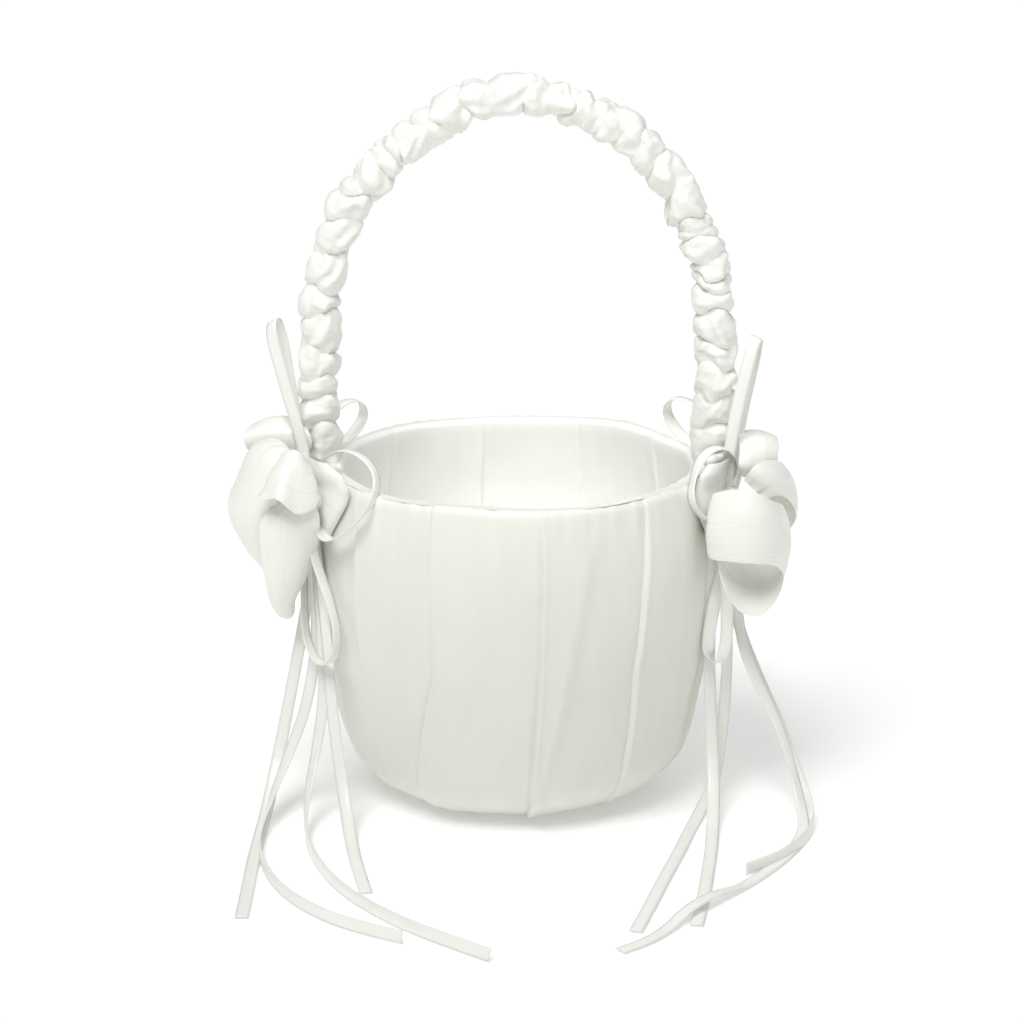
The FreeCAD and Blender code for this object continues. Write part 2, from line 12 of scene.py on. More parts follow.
import bpy
import numpy as np
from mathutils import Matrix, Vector


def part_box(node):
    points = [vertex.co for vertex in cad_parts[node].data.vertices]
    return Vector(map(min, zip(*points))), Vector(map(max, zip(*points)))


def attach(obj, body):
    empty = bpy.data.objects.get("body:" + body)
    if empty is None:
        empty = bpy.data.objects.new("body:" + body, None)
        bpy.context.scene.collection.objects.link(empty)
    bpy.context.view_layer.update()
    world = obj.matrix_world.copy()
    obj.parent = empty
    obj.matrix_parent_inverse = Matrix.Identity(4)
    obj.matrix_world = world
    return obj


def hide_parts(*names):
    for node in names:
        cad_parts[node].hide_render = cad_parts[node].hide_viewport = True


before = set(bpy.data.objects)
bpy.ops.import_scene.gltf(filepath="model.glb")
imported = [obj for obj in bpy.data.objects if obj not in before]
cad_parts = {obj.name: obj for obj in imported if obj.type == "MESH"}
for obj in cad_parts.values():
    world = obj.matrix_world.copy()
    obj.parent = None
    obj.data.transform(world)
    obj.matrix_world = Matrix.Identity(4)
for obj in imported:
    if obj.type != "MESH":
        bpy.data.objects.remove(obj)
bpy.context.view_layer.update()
BODY = "root"
MM = 0.001
PLEATS_END = 0.1304
LOG = logging.getLogger("basket")


# ------------------------------------------------------------------ small tools

class Ripple:
    """Smooth unevenness over an angle round a piece and a length along it."""

    def __init__(self, seed: int, turns: int, pitch: float, waves: int = 24) -> None:
        """Draw the waves.

        Args:
            seed: fixes the pattern.
            turns: most waves once round.
            pitch: typical wave length along, in metres.
            waves: how many waves are added up.
        """
        rng = np.random.default_rng(seed)
        self.round = rng.integers(-turns, turns + 1, waves)
        self.along = rng.normal(0.0, 1.0 / pitch, waves)
        self.shift = rng.uniform(0.0, 2.0 * math.pi, waves)

    def at(self, angle: np.ndarray, length: np.ndarray) -> np.ndarray:
        """Value of about -1 to 1 at each angle (radians) and length (metres)."""
        total = 0.0 * (angle + length)
        for turns, rate, shift in zip(self.round, self.along, self.shift):
            total = total + np.cos(turns * angle + 2.0 * math.pi * rate * length + shift)
        return total / math.sqrt(len(self.shift) * 2.0)


def smooth(low: float, high: float, x: np.ndarray) -> np.ndarray:
    """0 below low, 1 above high and an S curve between them."""
    t = np.clip((x - low) / (high - low), 0.0, 1.0)
    return t * t * (3.0 - 2.0 * t)


def unit(vectors: np.ndarray) -> np.ndarray:
    """The vectors at length 1, along the last axis."""
    size = np.linalg.norm(vectors, axis=-1, keepdims=True)
    return vectors / np.maximum(size, 1e-12)


def reach_along(points: np.ndarray) -> np.ndarray:
    """Length from the first point of a line to each of its points."""
    return np.concatenate([[0.0], np.cumsum(np.linalg.norm(np.diff(points, axis=0), axis=1))])


def grid_object(name: str, points: np.ndarray, cloth: np.ndarray, around: bool = False,
                closed: bool = False) -> bpy.types.Object:
    """Smooth mesh over a grid of points.

    Args:
        name: the piece's name.
        points: rows x columns x 3, in metres.
        cloth: UV of each point in metres of cloth, with one more column if around and one
            more row if closed.
        around: whether the last column joins the first.
        closed: whether the last row joins the first.

    Returns:
        The linked object, at the origin.
    """
    rows, cols = points.shape[:2]
    index = np.arange(rows * cols).reshape(rows, cols)
    if closed:
        index = np.concatenate([index, index[:1]], axis=0)
    if around:
        near, far = index, np.roll(index, -1, axis=1)
    else:
        near, far = index[:, :-1], index[:, 1:]
    quads = np.stack([near[:-1], far[:-1], far[1:], near[1:]], axis=-1).reshape(-1, 4)
    corners = np.stack([cloth[:-1, :-1], cloth[:-1, 1:], cloth[1:, 1:], cloth[1:, :-1]], axis=2)
    mesh = bpy.data.meshes.new(name)
    mesh.from_pydata(points.reshape(-1, 3).tolist(), [], quads.tolist())
    layer = mesh.uv_layers.new(name="UVMap")
    layer.data.foreach_set("uv", corners.reshape(-1).astype(np.float32))
    mesh.shade_smooth()
    mesh.update()
    obj = bpy.data.objects.new(name, mesh)
    bpy.context.scene.collection.objects.link(obj)
    return obj


def tube_caps(obj: bpy.types.Object, cols: int) -> None:
    """Close the first and last ring of a round grid with a fan each."""
    mesh = obj.data
    count = len(mesh.vertices)
    ends = [list(range(cols))[::-1], list(range(count - cols, count))]
    old_uv = np.empty(len(mesh.loops) * 2, dtype=np.float32)
    mesh.uv_layers["UVMap"].data.foreach_get("uv", old_uv)
    points = [tuple(v.co) for v in mesh.vertices]
    faces = [tuple(p.vertices) for p in mesh.polygons]
    for ring in ends:
        middle = sum((mesh.vertices[i].co for i in ring), Vector()) / cols
        points.append(tuple(middle))
        faces += [(ring[i], ring[(i + 1) % cols], len(points) - 1) for i in range(cols)]
    closed = bpy.data.meshes.new(mesh.name)
    closed.from_pydata(points, [], faces)
    layer = closed.uv_layers.new(name="UVMap")
    new_uv = np.zeros(len(closed.loops) * 2, dtype=np.float32)
    new_uv[:len(old_uv)] = old_uv
    layer.data.foreach_set("uv", new_uv)
    closed.shade_smooth()
    obj.data = closed


def thicken(obj: bpy.types.Object, thickness: float, offset: float = 0.0) -> None:
    """Give a sheet its thickness with a live Solidify modifier."""
    wall = obj.modifiers.new("Thickness", "SOLIDIFY")
    wall.thickness = thickness
    wall.offset = offset
    wall.use_rim = True


def settle(obj: bpy.types.Object, material: bpy.types.Material, nodes: list[str]) -> None:
    """Dress a finished piece and tie it to the frame.

    Args:
        obj: the piece.
        material: its finish.
        nodes: the CAD nodes that it stands for.
    """
    obj.data.materials.clear()
    obj.data.materials.append(material)
    if nodes:
        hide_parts(*nodes)
    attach(obj, BODY)
    LOG.info("piece %s stands for %s", obj.name, ", ".join(nodes) or "nothing")


# ------------------------------------------------------------------ finishes

class Pattern(Enum):
    """What the surface of a finish is made of."""

    SATIN = "satin"
    FELT = "felt"
    BOARD = "board"
    MOULDED = "moulded"
    METAL = "metal"


def group_with(name: str, inputs: dict[str, float], outputs: list[str]) -> bpy.types.NodeTree:
    """Empty shader group whose first input is the vector Where.

    Args:
        name: the group's name.
        inputs: further inputs, all numbers, with their usual values.
        outputs: outputs, all numbers.

    Returns:
        The group, with its input and output nodes named In and Out.
    """
    group = bpy.data.node_groups.new(name, "ShaderNodeTree")
    group.interface.new_socket("Where", in_out="INPUT", socket_type="NodeSocketVector")
    for label, value in inputs.items():
        socket = group.interface.new_socket(label, in_out="INPUT", socket_type="NodeSocketFloat")
        socket.default_value = value
    for label in outputs:
        group.interface.new_socket(label, in_out="OUTPUT", socket_type="NodeSocketFloat")
    group.nodes.new("NodeGroupInput").name = "In"
    group.nodes.new("NodeGroupOutput").name = "Out"
    return group


def weave_group() -> bpy.types.NodeTree:
    """Long floats of satin thread: fine streaks along the warp with broken ends."""
    group = group_with("Satin weave", {"Thread": 0.0003, "Float": 0.004}, ["Height", "Tone"])
    nodes, links = group.nodes, group.links
    split = nodes.new("ShaderNodeSeparateXYZ")
    links.new(nodes["In"].outputs["Where"], split.inputs[0])
    scaled = []
    for axis, size in (("X", "Thread"), ("Y", "Float")):
        ratio = nodes.new("ShaderNodeMath")
        ratio.operation = "DIVIDE"
        links.new(split.outputs[axis], ratio.inputs[0])
        links.new(nodes["In"].outputs[size], ratio.inputs[1])
        scaled.append(ratio)
    join = nodes.new("ShaderNodeCombineXYZ")
    links.new(scaled[0].outputs[0], join.inputs["X"])
    links.new(scaled[1].outputs[0], join.inputs["Y"])
    streaks = nodes.new("ShaderNodeTexNoise")
    streaks.inputs["Scale"].default_value = 1.0
    streaks.inputs["Detail"].default_value = 2.0
    links.new(join.outputs[0], streaks.inputs["Vector"])
    slubs = nodes.new("ShaderNodeTexNoise")
    slubs.inputs["Scale"].default_value = 0.07
    slubs.inputs["Detail"].default_value = 1.0
    links.new(join.outputs[0], slubs.inputs["Vector"])
    links.new(streaks.outputs["Fac"], nodes["Out"].inputs["Height"])
    links.new(slubs.outputs["Fac"], nodes["Out"].inputs["Tone"])
    return group


def shrunk_place(group: bpy.types.NodeTree) -> bpy.types.NodeSocket:
    """The group's Where divided by its Size, so that one unit is one patch."""
    nodes, links = group.nodes, group.links
    shrink = nodes.new("ShaderNodeVectorMath")
    shrink.operation = "DIVIDE"
    size = nodes.new("ShaderNodeCombineXYZ")
    for axis in ("X", "Y", "Z"):
        links.new(nodes["In"].outputs["Size"], size.inputs[axis])
    links.new(nodes["In"].outputs["Where"], shrink.inputs[0])
    links.new(size.outputs[0], shrink.inputs[1])
    return shrink.outputs[0]


def crumple_group() -> bpy.types.NodeTree:
    """Small soft creases of handled cloth, sharp on the ridge and soft beside it."""
    group = group_with("Cloth crumple", {"Size": 0.02, "Sharpness": 1.5}, ["Height", "Tone"])
    nodes, links = group.nodes, group.links
    place = shrunk_place(group)
    folds = nodes.new("ShaderNodeTexNoise")
    folds.inputs["Scale"].default_value = 1.0
    folds.inputs["Detail"].default_value = 3.0
    folds.inputs["Distortion"].default_value = 0.6
    links.new(place, folds.inputs["Vector"])
    centred = nodes.new("ShaderNodeMath")
    centred.operation = "SUBTRACT"
    centred.inputs[1].default_value = 0.5
    links.new(folds.outputs["Fac"], centred.inputs[0])
    ridge = nodes.new("ShaderNodeMath")
    ridge.operation = "ABSOLUTE"
    links.new(centred.outputs[0], ridge.inputs[0])
    sharp = nodes.new("ShaderNodeMath")
    sharp.operation = "POWER"
    links.new(ridge.outputs[0], sharp.inputs[0])
    links.new(nodes["In"].outputs["Sharpness"], sharp.inputs[1])
    links.new(sharp.outputs[0], nodes["Out"].inputs["Height"])
    links.new(folds.outputs["Fac"], nodes["Out"].inputs["Tone"])
    return group


def grain_group() -> bpy.types.NodeTree:
    """Felt, board or moulding grain in every direction."""
    group = group_with("Short grain", {"Size": 0.001}, ["Height", "Tone"])
    nodes, links = group.nodes, group.links
    place = shrunk_place(group)
    grain = nodes.new("ShaderNodeTexNoise")
    grain.inputs["Scale"].default_value = 1.0
    grain.inputs["Detail"].default_value = 5.0
    grain.inputs["Roughness"].default_value = 0.65
    links.new(place, grain.inputs["Vector"])
    patches = nodes.new("ShaderNodeTexNoise")
    patches.inputs["Scale"].default_value = 0.12
    links.new(place, patches.inputs["Vector"])
    links.new(grain.outputs["Fac"], nodes["Out"].inputs["Height"])
    links.new(patches.outputs["Fac"], nodes["Out"].inputs["Tone"])
    return group


@dataclass(frozen=True)
class Finish:
    """One finish of the basket.

    Sizes are in metres: thread and float_length are the weave's streaks, crumple is the size
    of the handling creases and the depths are how far each pattern stands up.
    """

    name: str
    pattern: Pattern
    light: tuple[float, float, float]
    shade: tuple[float, float, float]
    roughness: float
    thread: float = 0.0003
    float_length: float = 0.004
    weave_depth: float = 0.00001
    crumple: float = 0.02
    crumple_depth: float = 0.0
    sheen: float = 0.0
    metallic: float = 0.0

    def material(self, groups: dict[str, bpy.types.NodeTree]) -> bpy.types.Material:
        """Build the finish's node tree.

        Args:
            groups: the shared groups by name: weave, crumple and grain.

        Returns:
            The material.
        """
        made = bpy.data.materials.new(self.name)
        made.use_nodes = True
        nodes, links = made.node_tree.nodes, made.node_tree.links
        shader = nodes["Principled BSDF"]
        shader.inputs["Metallic"].default_value = self.metallic
        shader.inputs["Sheen Weight"].default_value = self.sheen
        shader.inputs["Sheen Roughness"].default_value = 0.4
        where = nodes.new("ShaderNodeTexCoord")
        woven = self.pattern is Pattern.SATIN
        fine = nodes.new("ShaderNodeGroup")
        fine.node_tree = groups["weave" if woven else "grain"]
        links.new(where.outputs["UV" if woven else "Object"], fine.inputs["Where"])
        if woven:
            fine.inputs["Thread"].default_value = self.thread
            fine.inputs["Float"].default_value = self.float_length
        else:
            fine.inputs["Size"].default_value = self.thread
        creases = nodes.new("ShaderNodeGroup")
        creases.node_tree = groups["crumple"]
        creases.inputs["Size"].default_value = self.crumple
        links.new(where.outputs["Object"], creases.inputs["Where"])

        tone = nodes.new("ShaderNodeMath")
        tone.operation = "MULTIPLY"
        links.new(fine.outputs["Tone"], tone.inputs[0])
        links.new(creases.outputs["Tone"], tone.inputs[1])
        colour = nodes.new("ShaderNodeValToRGB")
        colour.color_ramp.elements[0].position = 0.10
        colour.color_ramp.elements[0].color = (*self.light, 1.0)
        colour.color_ramp.elements[1].position = 0.42
        colour.color_ramp.elements[1].color = (*self.shade, 1.0)
        links.new(tone.outputs[0], colour.inputs["Fac"])
        links.new(colour.outputs["Color"], shader.inputs["Base Color"])

        gloss = nodes.new("ShaderNodeMapRange")
        gloss.inputs["From Min"].default_value = 0.3
        gloss.inputs["From Max"].default_value = 0.7
        gloss.inputs["To Min"].default_value = self.roughness - 0.04
        gloss.inputs["To Max"].default_value = self.roughness + 0.05
        links.new(fine.outputs["Tone"], gloss.inputs["Value"])
        links.new(gloss.outputs["Result"], shader.inputs["Roughness"])

        weave = nodes.new("ShaderNodeBump")
        weave.inputs["Strength"].default_value = 1.0
        weave.inputs["Distance"].default_value = self.weave_depth
        links.new(fine.outputs["Height"], weave.inputs["Height"])
        if self.crumple_depth > 0.0:
            soft = nodes.new("ShaderNodeBump")
            soft.inputs["Strength"].default_value = 1.0
            soft.inputs["Distance"].default_value = self.crumple_depth
            links.new(creases.outputs["Height"], soft.inputs["Height"])
            links.new(soft.outputs["Normal"], weave.inputs["Normal"])
        links.new(weave.outputs["Normal"], shader.inputs["Normal"])
        return made


IVORY = (0.824, 0.832, 0.762)
IVORY_SHADE = (0.800, 0.808, 0.733)
FINISHES = {
    "satin": Finish("Ivory satin", Pattern.SATIN, IVORY, IVORY_SHADE, 0.38, sheen=0.10,
                    weave_depth=0.000015, crumple=0.03, crumple_depth=0.0012),
    "ruched_satin": Finish("Ruched ivory satin", Pattern.SATIN, (0.905, 0.908, 0.862),
                           (0.870, 0.874, 0.818), 0.27, sheen=0.10, weave_depth=0.000015,
                           crumple=0.009, crumple_depth=0.0006),
    "lining_satin": Finish("Lining satin", Pattern.SATIN, (0.93, 0.93, 0.90),
                           (0.91, 0.91, 0.875), 0.42, sheen=0.10, weave_depth=0.000015,
                           crumple=0.03, crumple_depth=0.0012),
    "wide_ribbon": Finish("Wide satin ribbon", Pattern.SATIN, (0.945, 0.945, 0.892),
                          (0.933, 0.933, 0.874), 0.28, thread=0.0004, sheen=0.05,
                          weave_depth=0.000003, crumple=0.022, crumple_depth=0.0005),
    "thin_ribbon": Finish("Narrow satin ribbon", Pattern.SATIN, (0.92, 0.92, 0.885),
                          (0.89, 0.89, 0.84), 0.30, thread=0.0004, sheen=0.05,
                          weave_depth=0.00004, crumple=0.01, crumple_depth=0.0003),
    "base_cloth": Finish("Base felt", Pattern.FELT, (0.85, 0.85, 0.79), (0.79, 0.79, 0.72), 0.9,
                         thread=0.0008, weave_depth=0.0003, sheen=0.3),
    "wadding": Finish("Wadding", Pattern.FELT, (0.90, 0.90, 0.89), (0.84, 0.84, 0.83), 0.95,
                      thread=0.002, weave_depth=0.0006, sheen=0.3),
    "card": Finish("Greyboard", Pattern.BOARD, (0.56, 0.49, 0.38), (0.48, 0.41, 0.31), 0.85,
                   thread=0.0006, weave_depth=0.00006),
    "strip_plastic": Finish("Boning strip", Pattern.MOULDED, (0.86, 0.86, 0.83),
                            (0.80, 0.80, 0.77), 0.5, thread=0.0012, weave_depth=0.00003),
    "rivet_metal": Finish("Rivet steel", Pattern.METAL, (0.62, 0.61, 0.59), (0.50, 0.49, 0.47),
                          0.35, thread=0.0004, weave_depth=0.00002, metallic=1.0),
    "thread": Finish("Sewing thread", Pattern.FELT, (0.86, 0.86, 0.80), (0.80, 0.80, 0.74), 0.6,
                     thread=0.0003, weave_depth=0.00005),
}


# ------------------------------------------------------------------ camera and light

@dataclass
class Studio:
    """Camera, soft lights and the pale floor."""

    eye: tuple[float, float, float] = (-0.00197, -1.2, 0.45512)
    pitch: float = 15.94
    lens: float = 110.13

    def camera(self) -> None:
        """Place the camera level with X and looking a little down along +Y."""
        data = bpy.data.cameras.new("Camera")
        data.lens = self.lens
        data.sensor_width = 36.0
        data.clip_start = 0.05
        data.clip_end = 50.0
        obj = bpy.data.objects.new("Camera", data)
        obj.location = self.eye
        obj.rotation_euler = (math.radians(90.0 - self.pitch), 0.0, 0.0)
        bpy.context.scene.collection.objects.link(obj)
        bpy.context.scene.camera = obj

    def hang(self, data: bpy.types.Light, place: tuple[float, float, float],
             target: tuple[float, float, float]) -> None:
        """Put a light at a place and aim it at a target."""
        obj = bpy.data.objects.new(data.name, data)
        obj.location = place
        obj.rotation_euler = (Vector(target) - Vector(place)).to_track_quat("-Z", "Y").to_euler()
        bpy.context.scene.collection.objects.link(obj)

    def soft_sun(self, name: str, source: tuple[float, float, float], strength: float, spread: float) -> None:
        """Broad even light from one side of the room.

        Args:
            name: the light's name.
            source: where the light comes from, as a direction.
            strength: irradiance in watts per square metre.
            spread: how wide the source looks, in degrees.
        """
        data = bpy.data.lights.new(name, "SUN")
        data.energy = strength
        data.angle = math.radians(spread)
        self.hang(data, source, (0.0, 0.0, 0.0))

    def bowl_spot(self) -> None:
        """Narrow soft spot over the front rim that lights the inside of the basket."""
        data = bpy.data.lights.new("Bowl light", "SPOT")
        data.energy = 19.5
        data.spot_size = math.radians(12.5)
        data.spot_blend = 0.7
        data.shadow_soft_size = 0.06
        self.hang(data, (0.0, -0.6, 0.75), (0.0, 0.035, 0.135))

    def lights(self) -> None:
        """Soft key from above the front left, a wide top light and a bright room."""
        self.bowl_spot()
        self.soft_sun("Key light", (-0.45, -0.85, 1.6), 1.55, 28.0)
        self.soft_sun("Top light", (0.35, 0.2, 2.0), 0.75, 70.0)
        world = bpy.data.worlds.new("Room")
        world.use_nodes = True
        world.node_tree.nodes["Background"].inputs["Color"].default_value = (1.0, 1.0, 1.0, 1.0)
        world.node_tree.nodes["Background"].inputs["Strength"].default_value = 0.30
        bpy.context.scene.world = world
        bpy.context.scene.view_settings.view_transform = "Standard"

    def floor(self) -> None:
        """Plain pale floor, wide enough to fill every view."""
        size = 6.0
        mesh = bpy.data.meshes.new("Floor")
        mesh.from_pydata([(-size, -size, 0), (size, -size, 0), (size, size, 0), (-size, size, 0)],
                         [], [(0, 1, 2, 3)])
        obj = bpy.data.objects.new("Floor", mesh)
        bpy.context.scene.collection.objects.link(obj)
        paint = bpy.data.materials.new("Pale floor")
        paint.use_nodes = True
        shader = paint.node_tree.nodes["Principled BSDF"]
        shader.inputs["Base Color"].default_value = (0.86, 0.86, 0.855, 1.0)
        shader.inputs["Roughness"].default_value = 0.85
        shader.inputs["Emission Color"].default_value = (1.0, 1.0, 1.0, 1.0)
        shader.inputs["Emission Strength"].default_value = 0.22
        mesh.materials.append(paint)


# ------------------------------------------------------------------ narrow ribbons

ROUTES = {
    "streamer_left_outer": [
        (-0.082, -0.0114, 0.124), (-0.0816, -0.012, 0.108), (-0.0822, -0.014, 0.086),
        (-0.086, -0.02, 0.064), (-0.0905, -0.0235, 0.041), (-0.095, -0.031, 0.019),
        (-0.0982, -0.046, 0.0046), (-0.0997, -0.068, 0.0009), (-0.1004, -0.094, 0.0009),
        (-0.1001, -0.121, 0.0009), (-0.1003, -0.146, 0.0009),
    ],
    "streamer_left_curled": [
        (-0.0814, -0.0138, 0.124), (-0.0803, -0.015, 0.107), (-0.0797, -0.0185, 0.086),
        (-0.0792, -0.024, 0.063), (-0.0836, -0.029, 0.039), (-0.09, -0.0325, 0.023),
        (-0.0952, -0.044, 0.012), (-0.0982, -0.059, 0.0046), (-0.099, -0.079, 0.0028),
        (-0.0964, -0.099, 0.0028), (-0.0894, -0.1205, 0.0028), (-0.078, -0.14, 0.0028),
        (-0.0605, -0.1575, 0.0028), (-0.041, -0.168, 0.0028),
    ],
    "streamer_left_long": [
        (-0.0814, -0.0166, 0.124), (-0.0798, -0.0182, 0.107), (-0.0784, -0.0224, 0.088),
        (-0.0768, -0.029, 0.068), (-0.0756, -0.035, 0.049), (-0.0784, -0.0365, 0.029),
        (-0.082, -0.049, 0.013), (-0.0822, -0.062, 0.0046), (-0.0805, -0.079, 0.0028),
        (-0.0756, -0.098, 0.0028), (-0.0676, -0.119, 0.0028), (-0.0555, -0.139, 0.0028),
        (-0.0355, -0.1625, 0.0028), (-0.0097, -0.1835, 0.0028),
    ],
    "streamer_left_inner": [
        (-0.0813, -0.019, 0.124), (-0.0789, -0.0216, 0.106), (-0.0767, -0.0266, 0.087),
        (-0.0742, -0.034, 0.066), (-0.0727, -0.0405, 0.046), (-0.0704, -0.0455, 0.028),
        (-0.0672, -0.0555, 0.0105), (-0.0642, -0.0725, 0.0016), (-0.0608, -0.097, 0.0009),
        (-0.0561, -0.123, 0.0009),
    ],
    "loop_left_up": [
        (-0.0818, -0.014, 0.1245), (-0.0826, -0.0134, 0.136), (-0.0856, -0.0122, 0.149),
        (-0.0897, -0.0112, 0.164), (-0.0936, -0.01, 0.1785), (-0.0963, -0.0076, 0.189),
        (-0.0948, -0.0024, 0.1924), (-0.0922, -0.001, 0.184), (-0.0901, -0.0018, 0.17),
        (-0.0876, -0.0034, 0.154), (-0.0849, -0.0072, 0.139), (-0.0829, -0.011, 0.1242),
    ],
    "loop_left_back": [
        (-0.0838, -0.0114, 0.1244), (-0.0876, 0.0005, 0.128), (-0.087, 0.0145, 0.132),
        (-0.0805, 0.028, 0.1405), (-0.0705, 0.0365, 0.149), (-0.0628, 0.0395, 0.1486),
        (-0.0626, 0.0465, 0.1385), (-0.0715, 0.0395, 0.1295), (-0.0805, 0.0245, 0.125),
        (-0.0854, 0.009, 0.121), (-0.085, -0.0035, 0.1195), (-0.0824, -0.0108, 0.1216),
    ],
    "loop_left_front": [
        (-0.0813, -0.0174, 0.126), (-0.0795, -0.0186, 0.135), (-0.0736, -0.0215, 0.142),
        (-0.0655, -0.0275, 0.1456), (-0.0566, -0.038, 0.1436), (-0.0526, -0.05, 0.138),
        (-0.056, -0.0576, 0.13), (-0.0649, -0.0522, 0.1195), (-0.0718, -0.043, 0.1126),
        (-0.0764, -0.0335, 0.1134), (-0.079, -0.0246, 0.1185), (-0.0812, -0.0196, 0.123),
    ],
    "loop_left_down": [
        (-0.0818, -0.0212, 0.1225), (-0.081, -0.0268, 0.113), (-0.078, -0.032, 0.1),
        (-0.0726, -0.0388, 0.0875), (-0.0694, -0.045, 0.0755), (-0.0709, -0.046, 0.065),
        (-0.0774, -0.0374, 0.0606), (-0.083, -0.0286, 0.068), (-0.0838, -0.0236, 0.082),
        (-0.0836, -0.0198, 0.097), (-0.084, -0.017, 0.111), (-0.0844, -0.0164, 0.1225),
    ],
    "streamer_right_front": [
        (0.082, -0.0182, 0.124), (0.0798, -0.0178, 0.107), (0.0777, -0.0186, 0.088),
        (0.0759, -0.022, 0.066), (0.0764, -0.026, 0.044), (0.0774, -0.032, 0.026),
        (0.0776, -0.043, 0.0105), (0.0764, -0.059, 0.0024), (0.0744, -0.082, 0.0009),
        (0.0716, -0.105, 0.0009), (0.0686, -0.129, 0.0009), (0.0648, -0.153, 0.0009),
    ],
    "streamer_right_slant": [
        (0.0824, -0.0156, 0.124), (0.0815, -0.016, 0.108), (0.0828, -0.0175, 0.086),
        (0.0836, -0.0205, 0.062), (0.0829, -0.02, 0.038), (0.0809, -0.02, 0.017),
        (0.0778, -0.026, 0.0042), (0.0725, -0.041, 0.0009), (0.067, -0.062, 0.0009),
        (0.0613, -0.086, 0.0009), (0.0549, -0.11, 0.0009), (0.0488, -0.135, 0.0009),
        (0.0426, -0.1585, 0.0009),
    ],
    "streamer_right_outer": [
        (0.0827, -0.0126, 0.124), (0.0824, -0.0129, 0.108), (0.0838, -0.0139, 0.09),
        (0.0872, -0.0154, 0.073), (0.092, -0.017, 0.0585), (0.0984, -0.019, 0.0445),
        (0.1072, -0.0265, 0.028), (0.1137, -0.0355, 0.0135), (0.1167, -0.0465, 0.0054),
        (0.1156, -0.0595, 0.0028), (0.1112, -0.0735, 0.0028), (0.1042, -0.0865, 0.0028),
        (0.0956, -0.0972, 0.0028), (0.086, -0.1046, 0.0028),
    ],
    "streamer_right_curled": [
        (0.083, -0.0098, 0.124), (0.0844, -0.0106, 0.107), (0.086, -0.0146, 0.089),
        (0.0886, -0.0216, 0.066), (0.094, -0.027, 0.0525), (0.1006, -0.031, 0.04),
        (0.1068, -0.035, 0.025), (0.1109, -0.042, 0.0105), (0.1124, -0.0535, 0.0026),
        (0.111, -0.066, 0.0009), (0.1066, -0.079, 0.0009), (0.1002, -0.092, 0.0009),
        (0.092, -0.1056, 0.0009), (0.0834, -0.118, 0.0009), (0.0736, -0.1306, 0.0043),
        (0.0626, -0.1444, 0.0043), (0.0546, -0.1562, 0.0012), (0.046, -0.168, 0.0009),
        (0.0363, -0.1756, 0.0009),
    ],
    "loop_right_up": [
        (0.0826, -0.0146, 0.1245), (0.0828, -0.015, 0.137), (0.0844, -0.014, 0.15),
        (0.087, -0.0124, 0.163), (0.0896, -0.0106, 0.174), (0.0922, -0.008, 0.183),
        (0.0944, -0.003, 0.1854), (0.0934, -0.0006, 0.177), (0.0909, -0.0012, 0.165),
        (0.0882, -0.0026, 0.152), (0.0856, -0.0062, 0.138), (0.0836, -0.0102, 0.1244),
    ],
    "loop_right_back": [
        (0.085, -0.0096, 0.1244), (0.0886, 0.0025, 0.128), (0.0878, 0.0155, 0.132),
        (0.0815, 0.028, 0.14), (0.0716, 0.0355, 0.1486), (0.0628, 0.0385, 0.1506),
        (0.0606, 0.047, 0.141), (0.0695, 0.0415, 0.1305), (0.0798, 0.0265, 0.125),
        (0.0856, 0.011, 0.121), (0.0858, -0.0015, 0.1195), (0.0836, -0.0089, 0.1216),
    ],
    "loop_right_front": [
        (0.0834, -0.0156, 0.126), (0.0869, -0.0146, 0.131), (0.0854, -0.0162, 0.1396),
        (0.0794, -0.0196, 0.145), (0.0726, -0.0256, 0.1434), (0.0682, -0.035, 0.1386),
        (0.0662, -0.043, 0.13), (0.0702, -0.0394, 0.1222), (0.0756, -0.033, 0.1174),
        (0.0802, -0.025, 0.1162), (0.0824, -0.0186, 0.1224),
    ],
    "loop_right_down": [
        (0.0836, -0.0193, 0.1225), (0.0826, -0.0246, 0.111), (0.0814, -0.0274, 0.098),
        (0.0824, -0.0282, 0.083), (0.0826, -0.029, 0.068), (0.0806, -0.0298, 0.0598),
        (0.0766, -0.0292, 0.0588), (0.0749, -0.0278, 0.0658), (0.077, -0.0252, 0.079),
        (0.0806, -0.0218, 0.094), (0.0836, -0.0194, 0.1085), (0.085, -0.0164, 0.1225),
    ],
}


class Tip(Enum):
    """How a narrow ribbon ends."""

    LOOSE = "bare"
    TIED = "object"


